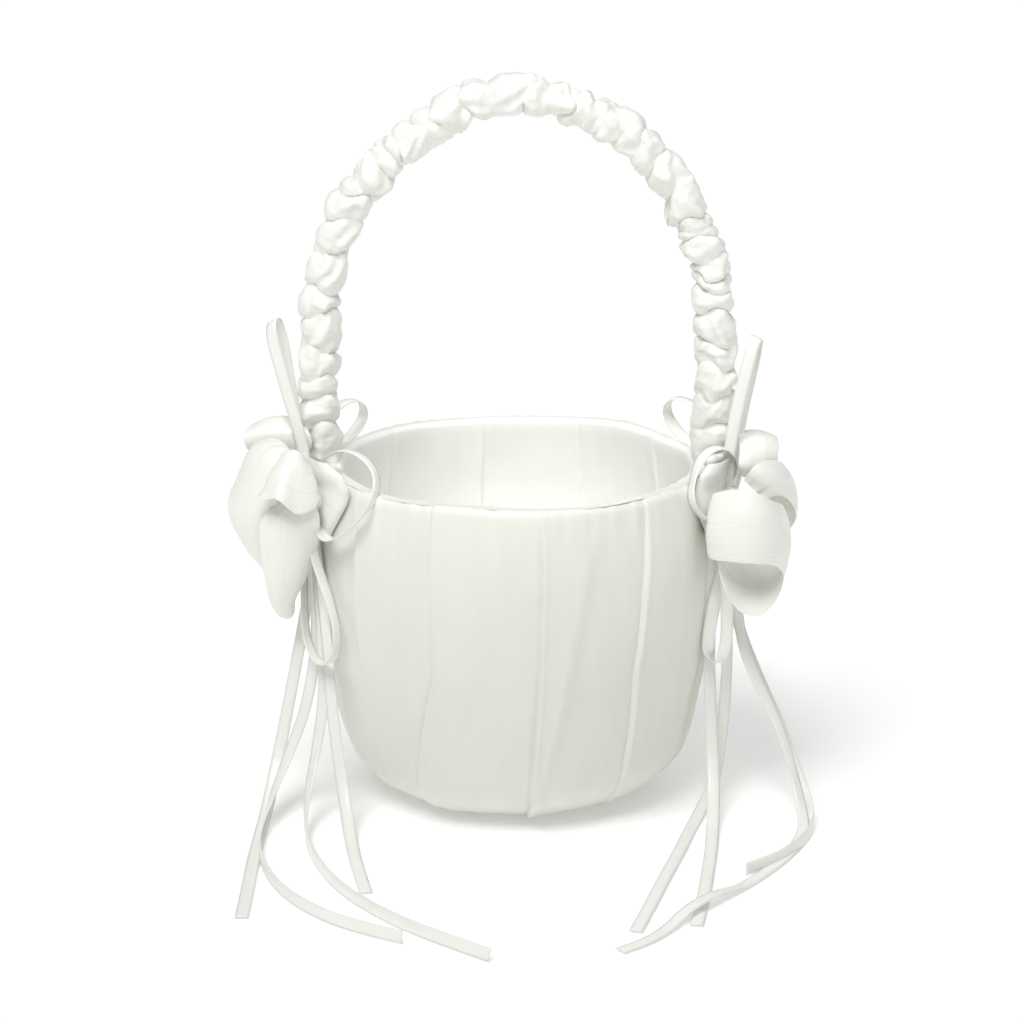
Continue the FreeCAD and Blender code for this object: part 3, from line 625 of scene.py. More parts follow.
@dataclass
class NarrowRibbon:
    """One strand of 5 mm satin ribbon along its route.

    facing gives the way that the flat side looks, at fractions of the length.
    """

    name: str
    facing: list[tuple[float, tuple[float, float, float]]]
    tip: Tip
    lay: str = "loose"
    width: float = 0.005
    thickness: float = 0.0003
    step: float = 0.0014
    across: int = 5

    def line(self) -> np.ndarray:
        """Evenly spaced points along the smooth line through the route."""
        route = ROUTES[self.name]
        data = bpy.data.curves.new(self.name + "_line", "CURVE")
        data.dimensions = "3D"
        data.resolution_u = 24
        spline = data.splines.new("NURBS")
        spline.points.add(len(route) - 1)
        for point, place in zip(spline.points, route):
            point.co = (*place, 1.0)
        spline.order_u = 3
        spline.use_endpoint_u = True
        holder = bpy.data.objects.new(self.name + "_line", data)
        bpy.context.scene.collection.objects.link(holder)
        graph = bpy.context.evaluated_depsgraph_get()
        mesh = bpy.data.meshes.new_from_object(holder.evaluated_get(graph))
        points = np.array([v.co[:] for v in mesh.vertices])
        bpy.data.objects.remove(holder)
        bpy.data.meshes.remove(mesh)
        bpy.data.curves.remove(data)
        reach = reach_along(points)
        even = np.linspace(0.0, reach[-1], max(12, int(reach[-1] / self.step)))
        return np.stack([np.interp(even, reach, points[:, i]) for i in range(3)], axis=1)

    def build(self, material: bpy.types.Material) -> bpy.types.Object:
        points = self.line()
        count = len(points)
        tangent = unit(np.gradient(points, axis=0))
        share = np.linspace(0.0, 1.0, count)
        keys = [key for key, _ in self.facing]
        looks = unit(np.array([way for _, way in self.facing], dtype=float))
        wanted = np.stack([np.interp(share, keys, looks[:, i]) for i in range(3)], axis=1)
        normal = unit(wanted - (wanted * tangent).sum(axis=1, keepdims=True) * tangent)
        side = np.cross(tangent, normal)
        v = np.linspace(-1.0, 1.0, self.across)
        cup = 0.00025 * (1.0 - v ** 2)
        grid = (points[:, None, :] + side[:, None, :] * (v * self.width / 2.0)[None, :, None]
                + normal[:, None, :] * cup[None, :, None])
        length = float(reach_along(points)[-1])
        cloth = np.stack(np.meshgrid(v * self.width / 2.0, share * length), axis=-1)
        obj = grid_object(self.name, grid, cloth)
        thicken(obj, self.thickness)
        settle(obj, material, [self.name])
        return obj


OUT_LEFT = (-0.8, -0.6, 0.0)
OUT_RIGHT = (0.8, -0.6, 0.0)
UP = (0.0, 0.0, 1.0)
FACINGS = {
    "streamer_left_outer": [(0, OUT_LEFT), (0.3, (-0.4, -1, 0.1)), (0.52, (-0.1, -0.9, 0.5)),
        (0.62, UP), (1, UP)],
    "streamer_left_curled": [(0, OUT_LEFT), (0.28, (-0.5, -1, 0)), (0.45, (-0.7, -0.6, 0.3)),
        (0.58, (-1, 0, 0.15)), (0.78, (-0.9, -0.5, 0.1)), (1, (-0.6, -0.9, 0.1))],
    "streamer_left_long": [(0, OUT_LEFT), (0.28, (-0.5, -1, 0)), (0.42, (-0.7, -0.6, 0.2)),
        (0.52, (-1, -0.1, 0.15)), (0.78, (-0.9, -0.5, 0.1)), (1, (-0.6, -0.8, 0.3))],
    "streamer_left_inner": [(0, OUT_LEFT), (0.3, (-0.6, -1, 0)), (0.6, (-0.3, -0.9, 0.4)),
        (0.75, UP), (1, UP)],
    "streamer_right_front": [(0, OUT_RIGHT), (0.3, (0.3, -1, 0)), (0.5, (0.1, -0.9, 0.4)),
        (0.62, UP), (1, UP)],
    "streamer_right_slant": [(0, OUT_RIGHT), (0.3, (0.5, -1, 0)), (0.45, (0.1, -1, 0.3)),
        (0.55, UP), (1, UP)],
    "streamer_right_outer": [(0, OUT_RIGHT), (0.35, (0.5, -1, 0.2)), (0.55, (0.9, -0.3, 0.4)),
        (0.68, (1, -0.1, 0.1)), (0.85, (0.8, -0.7, 0.1)), (1, (0.5, -0.9, 0.1))],
    "streamer_right_curled": [(0, OUT_RIGHT), (0.25, (0.5, -1, 0.2)), (0.38, (0.7, -0.6, 0.5)),
        (0.48, (0.5, -0.2, 1)), (0.6, UP), (1, UP)],
    "loop_left_up": [(0, (-0.5, -0.9, 0)), (0.4, (-0.3, -1, 0.2)), (0.5, (-0.5, 0.2, 1)),
        (0.6, (-0.1, 1, 0.3)), (1, (0.3, 0.9, 0))],
    "loop_left_back": [(0, (-1, 0, 0.5)), (0.35, (-0.3, -0.4, 1)), (0.5, (0.8, 0.5, 0.6)),
        (0.7, (0, 0.7, -0.8)), (1, (0.4, 0, -1))],
    "loop_left_front": [(0, (-0.3, -0.2, 1)), (0.3, (0, 0.3, 1)), (0.47, (1, -0.5, 0.3)),
        (0.65, (0.6, -0.3, -0.8)), (1, (-0.2, -0.4, -1))],
    "loop_left_down": [(0, (0.6, -0.8, 0)), (0.35, (0.8, -0.6, 0.1)), (0.5, (0.2, -0.3, -1)),
        (0.62, (-0.7, 0.4, -0.3)), (1, (-0.9, 0.3, 0))],
    "loop_right_up": [(0, (0.1, -1, 0)), (0.42, (-0.3, -1, 0.2)), (0.52, (0.5, 0.2, 1)),
        (0.62, (0.3, 1, 0.3)), (1, (0.2, 1, 0))],
    "loop_right_back": [(0, (1, 0, 0.5)), (0.35, (0.3, -0.4, 1)), (0.5, (-0.8, 0.5, 0.6)),
        (0.7, (0, 0.7, -0.8)), (1, (-0.4, 0, -1))],
    "loop_right_front": [(0, (0.8, -0.2, 0.6)), (0.3, (0.3, 0.2, 1)), (0.55, (-1, -0.5, 0.2)),
        (0.75, (-0.4, -0.5, -0.8)), (1, (0.2, -0.5, -1))],
    "loop_right_down": [(0, (-0.2, -1, 0)), (0.4, (-0.3, -1, 0)), (0.5, (0, -0.4, -1)),
        (0.6, (0, 1, -0.3)), (1, (0.3, 1, 0))],
}


def narrow_ribbons() -> list[NarrowRibbon]:
    """Every streamer, cut off loose, and every small loop, tied at both ends."""
    made = []
    for name, facing in FACINGS.items():
        if name.startswith("loop"):
            made.append(NarrowRibbon(name, facing, Tip.TIED, "hanging"))
        else:
            made.append(NarrowRibbon(name, facing, Tip.LOOSE))
    return made


# ------------------------------------------------------------------ tub

@dataclass
class TubOutline:
    """The tub's outer outline in the plane of radius and height, as flat, corner, wall and rim."""

    lift: float = 0.0012
    flat: float = 0.0393
    corner: float = 0.0309
    corner_turn: float = 74.7
    wall: float = 0.270
    roll: float = 0.0036
    top: float = 0.134

    def belly(self) -> tuple[float, float]:
        """Centre of the wall's long arc."""
        lean = math.radians(self.corner_turn - 90.0)
        across = self.flat + (self.corner - self.wall) * math.cos(lean)
        up = self.lift + self.corner + (self.corner - self.wall) * math.sin(lean)
        return across, up

    def rim_lean(self) -> float:
        """Angle of the wall's arc at the rim, in radians."""
        return math.asin((self.top - self.roll - self.belly()[1]) / (self.wall - self.roll))

    def roll_centre(self) -> tuple[float, float]:
        """Middle of the rim's roll, as radius and height."""
        across, up = self.belly()
        lean, reach = self.rim_lean(), self.wall - self.roll
        return across + reach * math.cos(lean), up + reach * math.sin(lean)

    def radius_at(self, height: float) -> float:
        """Outer radius of the wall at a height."""
        across, up = self.belly()
        return across + math.sqrt(self.wall ** 2 - (height - up) ** 2)

    def sample(self, depth: float, hem: float, rows: int, over: float = 0.0) -> np.ndarray:
        """Points up the outline, moved in by depth.

        Args:
            depth: how far inside the outer face.
            hem: radius where the piece starts, under the tub.
            rows: number of points.
            over: how far round the rim's roll the piece goes, in radians.

        Returns:
            rows x 5: radius, height, outward normal (two numbers) and length from the hem.
        """
        across, up = self.belly()
        base, lean, rim = self.lift + self.corner, math.radians(self.corner_turn - 90.0), self.rim_lean()
        pieces = [
            ((self.flat, base), self.corner - depth, -math.pi / 2.0, lean),
            ((across, up), self.wall - depth, lean, rim),
        ]
        if over > 0.0:
            pieces.append((self.roll_centre(), self.roll - depth, rim, rim + over))
        runs = [self.flat - hem] + [size * abs(b - a) for _, size, a, b in pieces]
        ends = np.concatenate([[0.0], np.cumsum(runs)])
        out = np.zeros((rows, 5))
        for i, s in enumerate(np.linspace(0.0, ends[-1], rows)):
            k = min(int(np.searchsorted(ends, s, side="right")) - 1, len(runs) - 1)
            if k == 0:
                out[i] = (hem + s, self.lift + depth, 0.0, -1.0, s)
                continue
            (cx, cz), size, a, b = pieces[k - 1]
            t = a + (b - a) * (s - ends[k]) / runs[k]
            out[i] = (cx + size * math.cos(t), cz + size * math.sin(t), math.cos(t), math.sin(t), s)
        return out


@dataclass
class Pleats:
    """Soft laid pleats round a wall.

    folds lists each fold edge as its angle in degrees at the rim, half way and at the bottom.
    creases lists faint slanting creases as panel, place in the panel at the rim and at the
    bottom, and strength in metres.
    """

    folds: list[tuple[float, float, float]]
    creases: list[tuple[int, float, float, float]]
    depth: float
    low: float
    high: float
    seed: int = 3
    columns: int = 44
    slack: float = 0.002

    def shares(self) -> np.ndarray:
        """Places of the columns in one panel, close together at its two edges."""
        t = np.linspace(0.0, 1.0, self.columns, endpoint=False)
        return t - 0.145 * np.sin(2.0 * math.pi * t)

    def angles(self, height: np.ndarray) -> tuple[np.ndarray, np.ndarray, np.ndarray]:
        """Angle of every column at each height.

        Args:
            height: one height a row.

        Returns:
            Angles in radians (rows x columns), and each column's panel and place in it.
        """
        t = np.clip((height - self.low) / (self.high - self.low), 0.0, 1.0)
        keys = np.array(self.folds)
        bend = [np.interp(t, [0.0, 0.5, 1.0], [k[2], k[1], k[0]]) for k in keys]
        edges = np.stack(bend + [bend[0] + 360.0], axis=1)
        place = self.shares()
        panels = len(self.folds)
        starts, widths = edges[:, :-1], np.diff(edges, axis=1)
        angle = np.concatenate([starts[:, i:i + 1] + widths[:, i:i + 1] * place
                                for i in range(panels)], axis=1)
        return np.radians(angle), np.repeat(np.arange(panels), self.columns), np.tile(place, panels)

    def height_of(self, angle: np.ndarray, up: np.ndarray, panel: np.ndarray,
                  place: np.ndarray) -> np.ndarray:
        """How far the cloth stands out of its plain outline, in metres.

        Args:
            angle: rows x columns, in radians.
            up: height of each row.
            panel: panel of each column.
            place: place of each column in its panel.
        """
        rng = np.random.default_rng(self.seed)
        strength = rng.uniform(0.75, 1.15, len(self.folds))[panel][None, :]
        t = np.clip((up - self.low) / (self.high - self.low), 0.0, 1.0)[:, None]
        held = (0.35 + 0.65 * smooth(0.0, 0.25, t)) * (1.0 - 0.75 * smooth(0.82, 1.0, t))
        p = place[None, :]
        lip = smooth(-0.002, 0.022, p) * (1.0 - p) ** 1.3 + 0.22 * np.exp(-((p - 0.035) / 0.03) ** 2)
        before = 0.12 * np.exp(-((1.0 - p) / 0.03) ** 2)
        out = self.depth * strength * held * (lip - before - 0.35)
        for number, rim, bottom, size in self.creases:
            middle = rim + (bottom - rim) * (1.0 - t)
            near = np.exp(-np.abs(p - middle) / 0.16) - 0.5 * np.exp(-np.abs(p - middle - 0.1) / 0.2)
            out = out + np.where(panel[None, :] == number, size * near * smooth(0.0, 0.2, 1.02 - t), 0.0)
        lumps, lump_height = Ripple(self.seed + 1, 13, 0.06), 0.00042
        fine, fine_height = Ripple(self.seed + 2, 60, 0.02), 0.00007
        gather, gather_height = Ripple(self.seed + 4, 90, 0.3), 0.00030
        at_rim = smooth(0.86, 0.99, t) * (1.0 - smooth(0.99, 1.03, t) * 0.5)
        out = out + lump_height * lumps.at(angle, up[:, None])
        out = out + fine_height * fine.at(angle, up[:, None])
        return out + gather_height * gather.at(angle, up[:, None]) * at_rim


@dataclass
class Tub:
    """Padded tub: pleated cover, wadding, rim filling, lining, pad and base.

    cover_over is how far round the rim's roll the cover goes, in radians from the wall.
    lining_ease is how much further in the lining stands at the rim than at the floor.
    """

    outline: TubOutline = field(default_factory=TubOutline)
    cover_hem: float = 0.026
    cover_over: float = 1.75
    lining_hem: float = 0.030
    lining_depth: float = 0.0064
    lining_ease: float = 0.0016
    base_radius: float = 0.034

    def cover_pleats(self) -> Pleats:
        """The outer pleats, from the right round the back to the front."""
        regular = [(-16.6 + 33.4 * i,) * 3 for i in range(7)]
        seen = [(217.4, 219.6, 208.4), (244.8, 245.4, 232.0), (276.7, 276.2, 274.0)]
        first = [(-50.0, -54.5, -52.7)]
        creases = [(0, 0.45, 0.6, 0.0004), (9, 0.52, 0.22, 0.0009), (10, 0.474, 0.05, 0.0017),
                   (3, 0.4, 0.2, 0.0004), (5, 0.6, 0.3, 0.0004), (7, 0.3, 0.5, 0.0004)]
        return Pleats(first + regular + seen, creases, 0.0021, 0.004, PLEATS_END, seed=11)

    def lining_pleats(self) -> Pleats:
        """The inner pleats, a little off the outer ones."""
        angles = [1.0, 34.9, 68.1, 100.9, 137.4, 169.0, 201.0, 233.0, 265.0, 297.0, 329.0]
        return Pleats([(a, a + 0.6, a + 1.2) for a in angles],
                      [(2, 0.5, 0.3, 0.0004), (3, 0.35, 0.6, 0.0004), (1, 0.5, 0.4, 0.0004)],
                      0.0013, 0.012, PLEATS_END, seed=23, columns=30, slack=0.0004)

    def rim_wave(self, angle: np.ndarray) -> np.ndarray:
        """Slow rise and fall of the rim, in metres."""
        return 0.00075 * Ripple(41, 9, 1.0).at(angle, 0.0 * angle)

    def shell_grid(self, pleats: Pleats, rows: np.ndarray, face: float,
                   amount: float = 1.0) -> tuple[np.ndarray, np.ndarray]:
        """Points of a pleated layer.

        Args:
            pleats: the pleats that it follows.
            rows: output of TubOutline.sample.
            face: 1 where relief goes outward, -1 where it goes into the basket.
            amount: share of the relief that the layer takes.

        Returns:
            The grid of points and its cloth coordinates.
        """
        angle, panel, place = pleats.angles(rows[:, 1])
        relief = pleats.height_of(angle, rows[:, 1], panel, place) * amount
        relief = np.maximum(relief, -pleats.slack) * face
        edge = smooth(0.0, 0.03, rows[:, 4])[:, None]
        relief = relief * edge
        radius = rows[:, 0:1] + rows[:, 2:3] * relief
        height = rows[:, 1:2] + rows[:, 3:4] * relief
        height = height + self.rim_wave(angle) * smooth(0.10, 0.130, rows[:, 1])[:, None]
        points = np.stack([radius * np.cos(angle), radius * np.sin(angle), height], axis=-1)
        wide = np.concatenate([angle, angle[:, :1] + 2.0 * math.pi], axis=1) * 0.077
        cloth = np.stack([wide, np.repeat(rows[:, 4:5], wide.shape[1], axis=1)], axis=-1)
        return points, cloth

    def cover(self, material: bpy.types.Material) -> None:
        """Outer satin from its hem under the base, up the wall to just over the top of the rim."""
        rows = self.outline.sample(0.0, self.cover_hem, 128, self.cover_over)
        rows[:, 2:4] *= 1.0 - 0.9 * smooth(rows[-1, 4] - 0.0040, rows[-1, 4] - 0.0006, rows[:, 4:5])
        points, cloth = self.shell_grid(self.cover_pleats(), rows, 1.0)
        obj = grid_object("outer_cover_satin", points, cloth, True)
        settle(obj, material, ["outer_cover"])

    def wadding(self, material: bpy.types.Material) -> None:
        """Soft layer between cover and card, lumpy like the cover over it."""
        pleats = self.cover_pleats()
        pleats.columns = 14
        outer_face, inner_face, hem, steps = 0.0011, 0.0033, 0.027, 40
        outer, _ = self.shell_grid(pleats, self.outline.sample(outer_face, hem, steps), 1.0, 0.75)
        inner, _ = self.shell_grid(pleats, self.outline.sample(inner_face, hem, steps), 1.0, 0.0)
        self.wadding_layer("wadding", outer, inner, material, "wadding_wrap")

    def wadding_layer(self, name: str, outer: np.ndarray, inner: np.ndarray,
                      material: bpy.types.Material, node: str) -> None:
        """A layer of wadding with two faces, joined along both edges."""
        ring = np.concatenate([outer, inner[::-1]], axis=0)
        rows, cols = ring.shape[:2]
        girth, profile = 0.48, 0.3
        cloth = np.stack(np.meshgrid(np.linspace(0.0, girth, cols + 1),
                                     np.linspace(0.0, profile, rows + 1)), axis=-1)
        settle(grid_object(name, ring, cloth, around=True, closed=True), material, [node])

    def rim(self, material: bpy.types.Material) -> None:
        """Roll of wadding inside the turned rim."""
        pleats = self.cover_pleats()
        pleats.columns = 14
        centre = self.outline.roll_centre()
        steps, under_cloth, flat_thickness = 12, 0.0011, 0.0002
        turns = self.outline.rim_lean() + np.linspace(0.0, math.pi, steps)
        size = self.outline.roll - under_cloth
        rows = np.zeros((steps, 5))
        rows[:, 0] = centre[0] + size * np.cos(turns)
        rows[:, 1] = centre[1] + size * np.sin(turns)
        rows[:, 4] = 0.1
        outer, _ = self.shell_grid(pleats, rows, 1.0, 0.0)
        under = rows.copy()
        under[:, 0] = np.linspace(rows[0, 0], rows[-1, 0], steps)
        under[:, 1] = np.linspace(rows[0, 1], rows[-1, 1], steps) - flat_thickness
        inner, _ = self.shell_grid(pleats, under, 1.0, 0.0)
        self.wadding_layer("rim_roll", outer, inner, material, "rim_filling")

    def over_roll(self, start: float) -> np.ndarray:
        """Rows of the lining from the wall up over the rim's roll, tucked under the cover's edge.

        Args:
            start: length of the lining up to there.
        """
        steps = 16
        centre = self.outline.roll_centre()
        wide, high = self.outline.roll + self.lining_ease - 0.0008, self.outline.roll - 0.00015
        turn = np.linspace(0.12, 1.72, steps)
        inward = np.sign(np.cos(turn)) * np.abs(np.cos(turn)) ** 0.55
        held = 1.0 - smooth(0.7, 1.3, turn)
        rows = np.zeros((steps, 5))
        rows[:, 0] = centre[0] - wide * inward
        rows[:, 1] = centre[1] + high * np.sin(turn) ** 0.5
        rows[:, 2], rows[:, 3] = np.cos(turn) * held, -np.sin(turn) * held
        rows[:, 4] = start + wide * np.linspace(0.1, 1.9, steps)
        return rows

    def lining(self, material: bpy.types.Material) -> None:
        """Inner satin from its hem under the pad up to the seam on top of the rim."""
        rows = self.outline.sample(self.lining_depth, self.lining_hem, 100)
        rows[:, 0:2] -= rows[:, 2:4] * self.lining_ease * smooth(0.098, 0.130, rows[:, 1:2])
        rows = np.concatenate([rows, self.over_roll(float(rows[-1, 4]))])
        points, cloth = self.shell_grid(self.lining_pleats(), rows, -1.0)
        points = points[:, ::-1]
        cloth = cloth[:, ::-1]
        obj = grid_object("lining_satin", points, cloth, True)
        settle(obj, material, ["lining_wall"])

    def pad(self, material: bpy.types.Material) -> None:
        """Crowned cushion in the bottom, with small gathers at its edge."""
        low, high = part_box("floor_pad")
        reach = (high[0] - low[0]) / 2.0
        rings, cols = 34, 128
        angle = np.linspace(0.0, 2.0 * math.pi, cols, endpoint=False)[None, :]
        t = np.linspace(0.0, 1.0, rings)[:, None]
        turn = t * math.pi
        share = np.sin(turn) ** 0.55
        top = (t > 0.5)
        middle = low[2] + 0.0026
        lift = np.where(top, high[2] - middle, middle - low[2]) * -np.cos(turn)
        tuck = Ripple(61, 46, 1.0).at(angle, 0.0 * angle) * 0.0005 * share ** 6
        waves = Ripple(62, 5, 0.05).at(angle, share * 0.05) * 0.00035
        radius = (reach - 0.0004) * share + tuck
        height = middle + lift + waves * share * (1.0 - share ** 8) * top
        height = np.clip(height, low[2], high[2] + 0.0006)
        points = np.stack([radius * np.cos(angle), radius * np.sin(angle),
                           height + 0.0 * angle], axis=-1)
        plane = np.concatenate([points[..., :2], points[:, :1, :2]], axis=1)
        obj = grid_object("floor_pad_satin", points[1:-1], plane[1:-1], True)
        tube_caps(obj, cols)
        settle(obj, material, ["floor_pad"])

    def base(self, material: bpy.types.Material) -> None:
        """Round of felt under the tub with a soft cut edge."""
        low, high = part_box("base_disc")
        cols = 160
        angle = np.linspace(0.0, 2.0 * math.pi, cols, endpoint=False)[None, :]
        edge = [(0.05, 0.0), (0.6, 0.0), (0.93, 0.0), (0.985, 0.05), (1.0, 0.3), (1.0, 0.7),
                (0.985, 0.95), (0.93, 1.0), (0.6, 1.0), (0.05, 1.0)]
        share = np.array([e[0] for e in edge])[:, None]
        up = np.array([e[1] for e in edge])[:, None]
        ragged = 0.00018 * Ripple(71, 40, 1.0).at(angle, 0.0 * angle) * share ** 12
        radius = share * (self.base_radius - 0.0002) + ragged
        height = low[2] + up * (high[2] - low[2]) + 0.0 * angle
        points = np.stack([radius * np.cos(angle), radius * np.sin(angle), height], axis=-1)
        plane = np.concatenate([points[..., :2], points[:, :1, :2]], axis=1)
        obj = grid_object("base_felt", points, plane, True)
        tube_caps(obj, cols)
        settle(obj, material, ["base_disc"])


@dataclass
class StitchRow:
    """A row of small stitches laid along a closed line by Geometry Nodes."""

    name: str
    pitch: float = 0.0026
    length: float = 0.0017
    thread: float = 0.00022
    seed: int = 5

    def tree(self, material: bpy.types.Material) -> bpy.types.NodeTree:
        """Curve in, stitches out."""
        tree = bpy.data.node_groups.new(self.name + "_stitching", "GeometryNodeTree")
        tree.interface.new_socket("Geometry", in_out="INPUT", socket_type="NodeSocketGeometry")
        for label in ("Pitch", "Stitch length", "Thread radius"):
            tree.interface.new_socket(label, in_out="INPUT", socket_type="NodeSocketFloat")
        tree.interface.new_socket("Seed", in_out="INPUT", socket_type="NodeSocketInt")
        tree.interface.new_socket("Geometry", in_out="OUTPUT", socket_type="NodeSocketGeometry")
        nodes, links = tree.nodes, tree.links
        source = nodes.new("NodeGroupInput")
        end = nodes.new("NodeGroupOutput")
        line = nodes.new("GeometryNodeMeshToCurve")
        spots = nodes.new("GeometryNodeCurveToPoints")
        spots.mode = "LENGTH"
        stitch = nodes.new("GeometryNodeMeshIcoSphere")
        stitch.inputs["Subdivisions"].default_value = 1
        stitch.inputs["Radius"].default_value = 1.0
        place = nodes.new("GeometryNodeInstanceOnPoints")
        half = nodes.new("ShaderNodeMath")
        half.operation = "MULTIPLY"
        half.inputs[1].default_value = 0.5
        size = nodes.new("ShaderNodeCombineXYZ")
        wobble = nodes.new("FunctionNodeRandomValue")
        wobble.data_type = "FLOAT_VECTOR"
        wobble.inputs[0].default_value = (-0.06, -0.06, -0.10)
        wobble.inputs[1].default_value = (0.06, 0.06, 0.10)
        turn = nodes.new("GeometryNodeRotateInstances")
        real = nodes.new("GeometryNodeRealizeInstances")
        dress = nodes.new("GeometryNodeSetMaterial")
        dress.inputs["Material"].default_value = material
        links.new(source.outputs["Geometry"], line.inputs["Mesh"])
        links.new(line.outputs["Curve"], spots.inputs["Curve"])
        links.new(source.outputs["Pitch"], spots.inputs["Length"])
        links.new(spots.outputs["Points"], place.inputs["Points"])
        links.new(spots.outputs["Rotation"], place.inputs["Rotation"])
        links.new(stitch.outputs["Mesh"], place.inputs["Instance"])
        links.new(source.outputs["Stitch length"], half.inputs[0])
        links.new(source.outputs["Thread radius"], size.inputs["X"])
        links.new(source.outputs["Thread radius"], size.inputs["Y"])
        links.new(half.outputs[0], size.inputs["Z"])
        links.new(size.outputs[0], place.inputs["Scale"])
        links.new(source.outputs["Seed"], wobble.inputs["Seed"])
        links.new(place.outputs["Instances"], turn.inputs["Instances"])
        links.new(wobble.outputs[0], turn.inputs["Rotation"])
        links.new(turn.outputs["Instances"], real.inputs["Geometry"])
        links.new(real.outputs["Geometry"], dress.inputs["Geometry"])
        links.new(dress.outputs["Geometry"], end.inputs["Geometry"])
        return tree

    def sew(self, ring: np.ndarray, material: bpy.types.Material) -> bpy.types.Object:
        """Stitches along a closed ring of points.

        Args:
            ring: points of the seam.
            material: the thread.

        Returns:
            The stitches as one plain mesh.
        """
        mesh = bpy.data.meshes.new(self.name + "_seam")
        count = len(ring)
        mesh.from_pydata(ring.tolist(), [(i, (i + 1) % count) for i in range(count)], [])
        holder = bpy.data.objects.new(self.name + "_seam", mesh)
        bpy.context.scene.collection.objects.link(holder)
        tree = self.tree(material)
        modifier = holder.modifiers.new("Stitching", "NODES")
        modifier.node_group = tree
        values = {"Pitch": self.pitch, "Stitch length": self.length,
                  "Thread radius": self.thread, "Seed": self.seed}
        for item in tree.interface.items_tree:
            if item.in_out == "INPUT" and item.name in values:
                modifier[item.identifier] = values[item.name]
        graph = bpy.context.evaluated_depsgraph_get()
        made = bpy.data.meshes.new_from_object(holder.evaluated_get(graph))
        made.name = self.name
        holder.modifiers.remove(modifier)
        bpy.data.objects.remove(holder)
        obj = bpy.data.objects.new(self.name, made)
        bpy.context.scene.collection.objects.link(obj)
        made.shade_smooth()
        settle(obj, material, [])
        return obj


# ------------------------------------------------------------------ handle

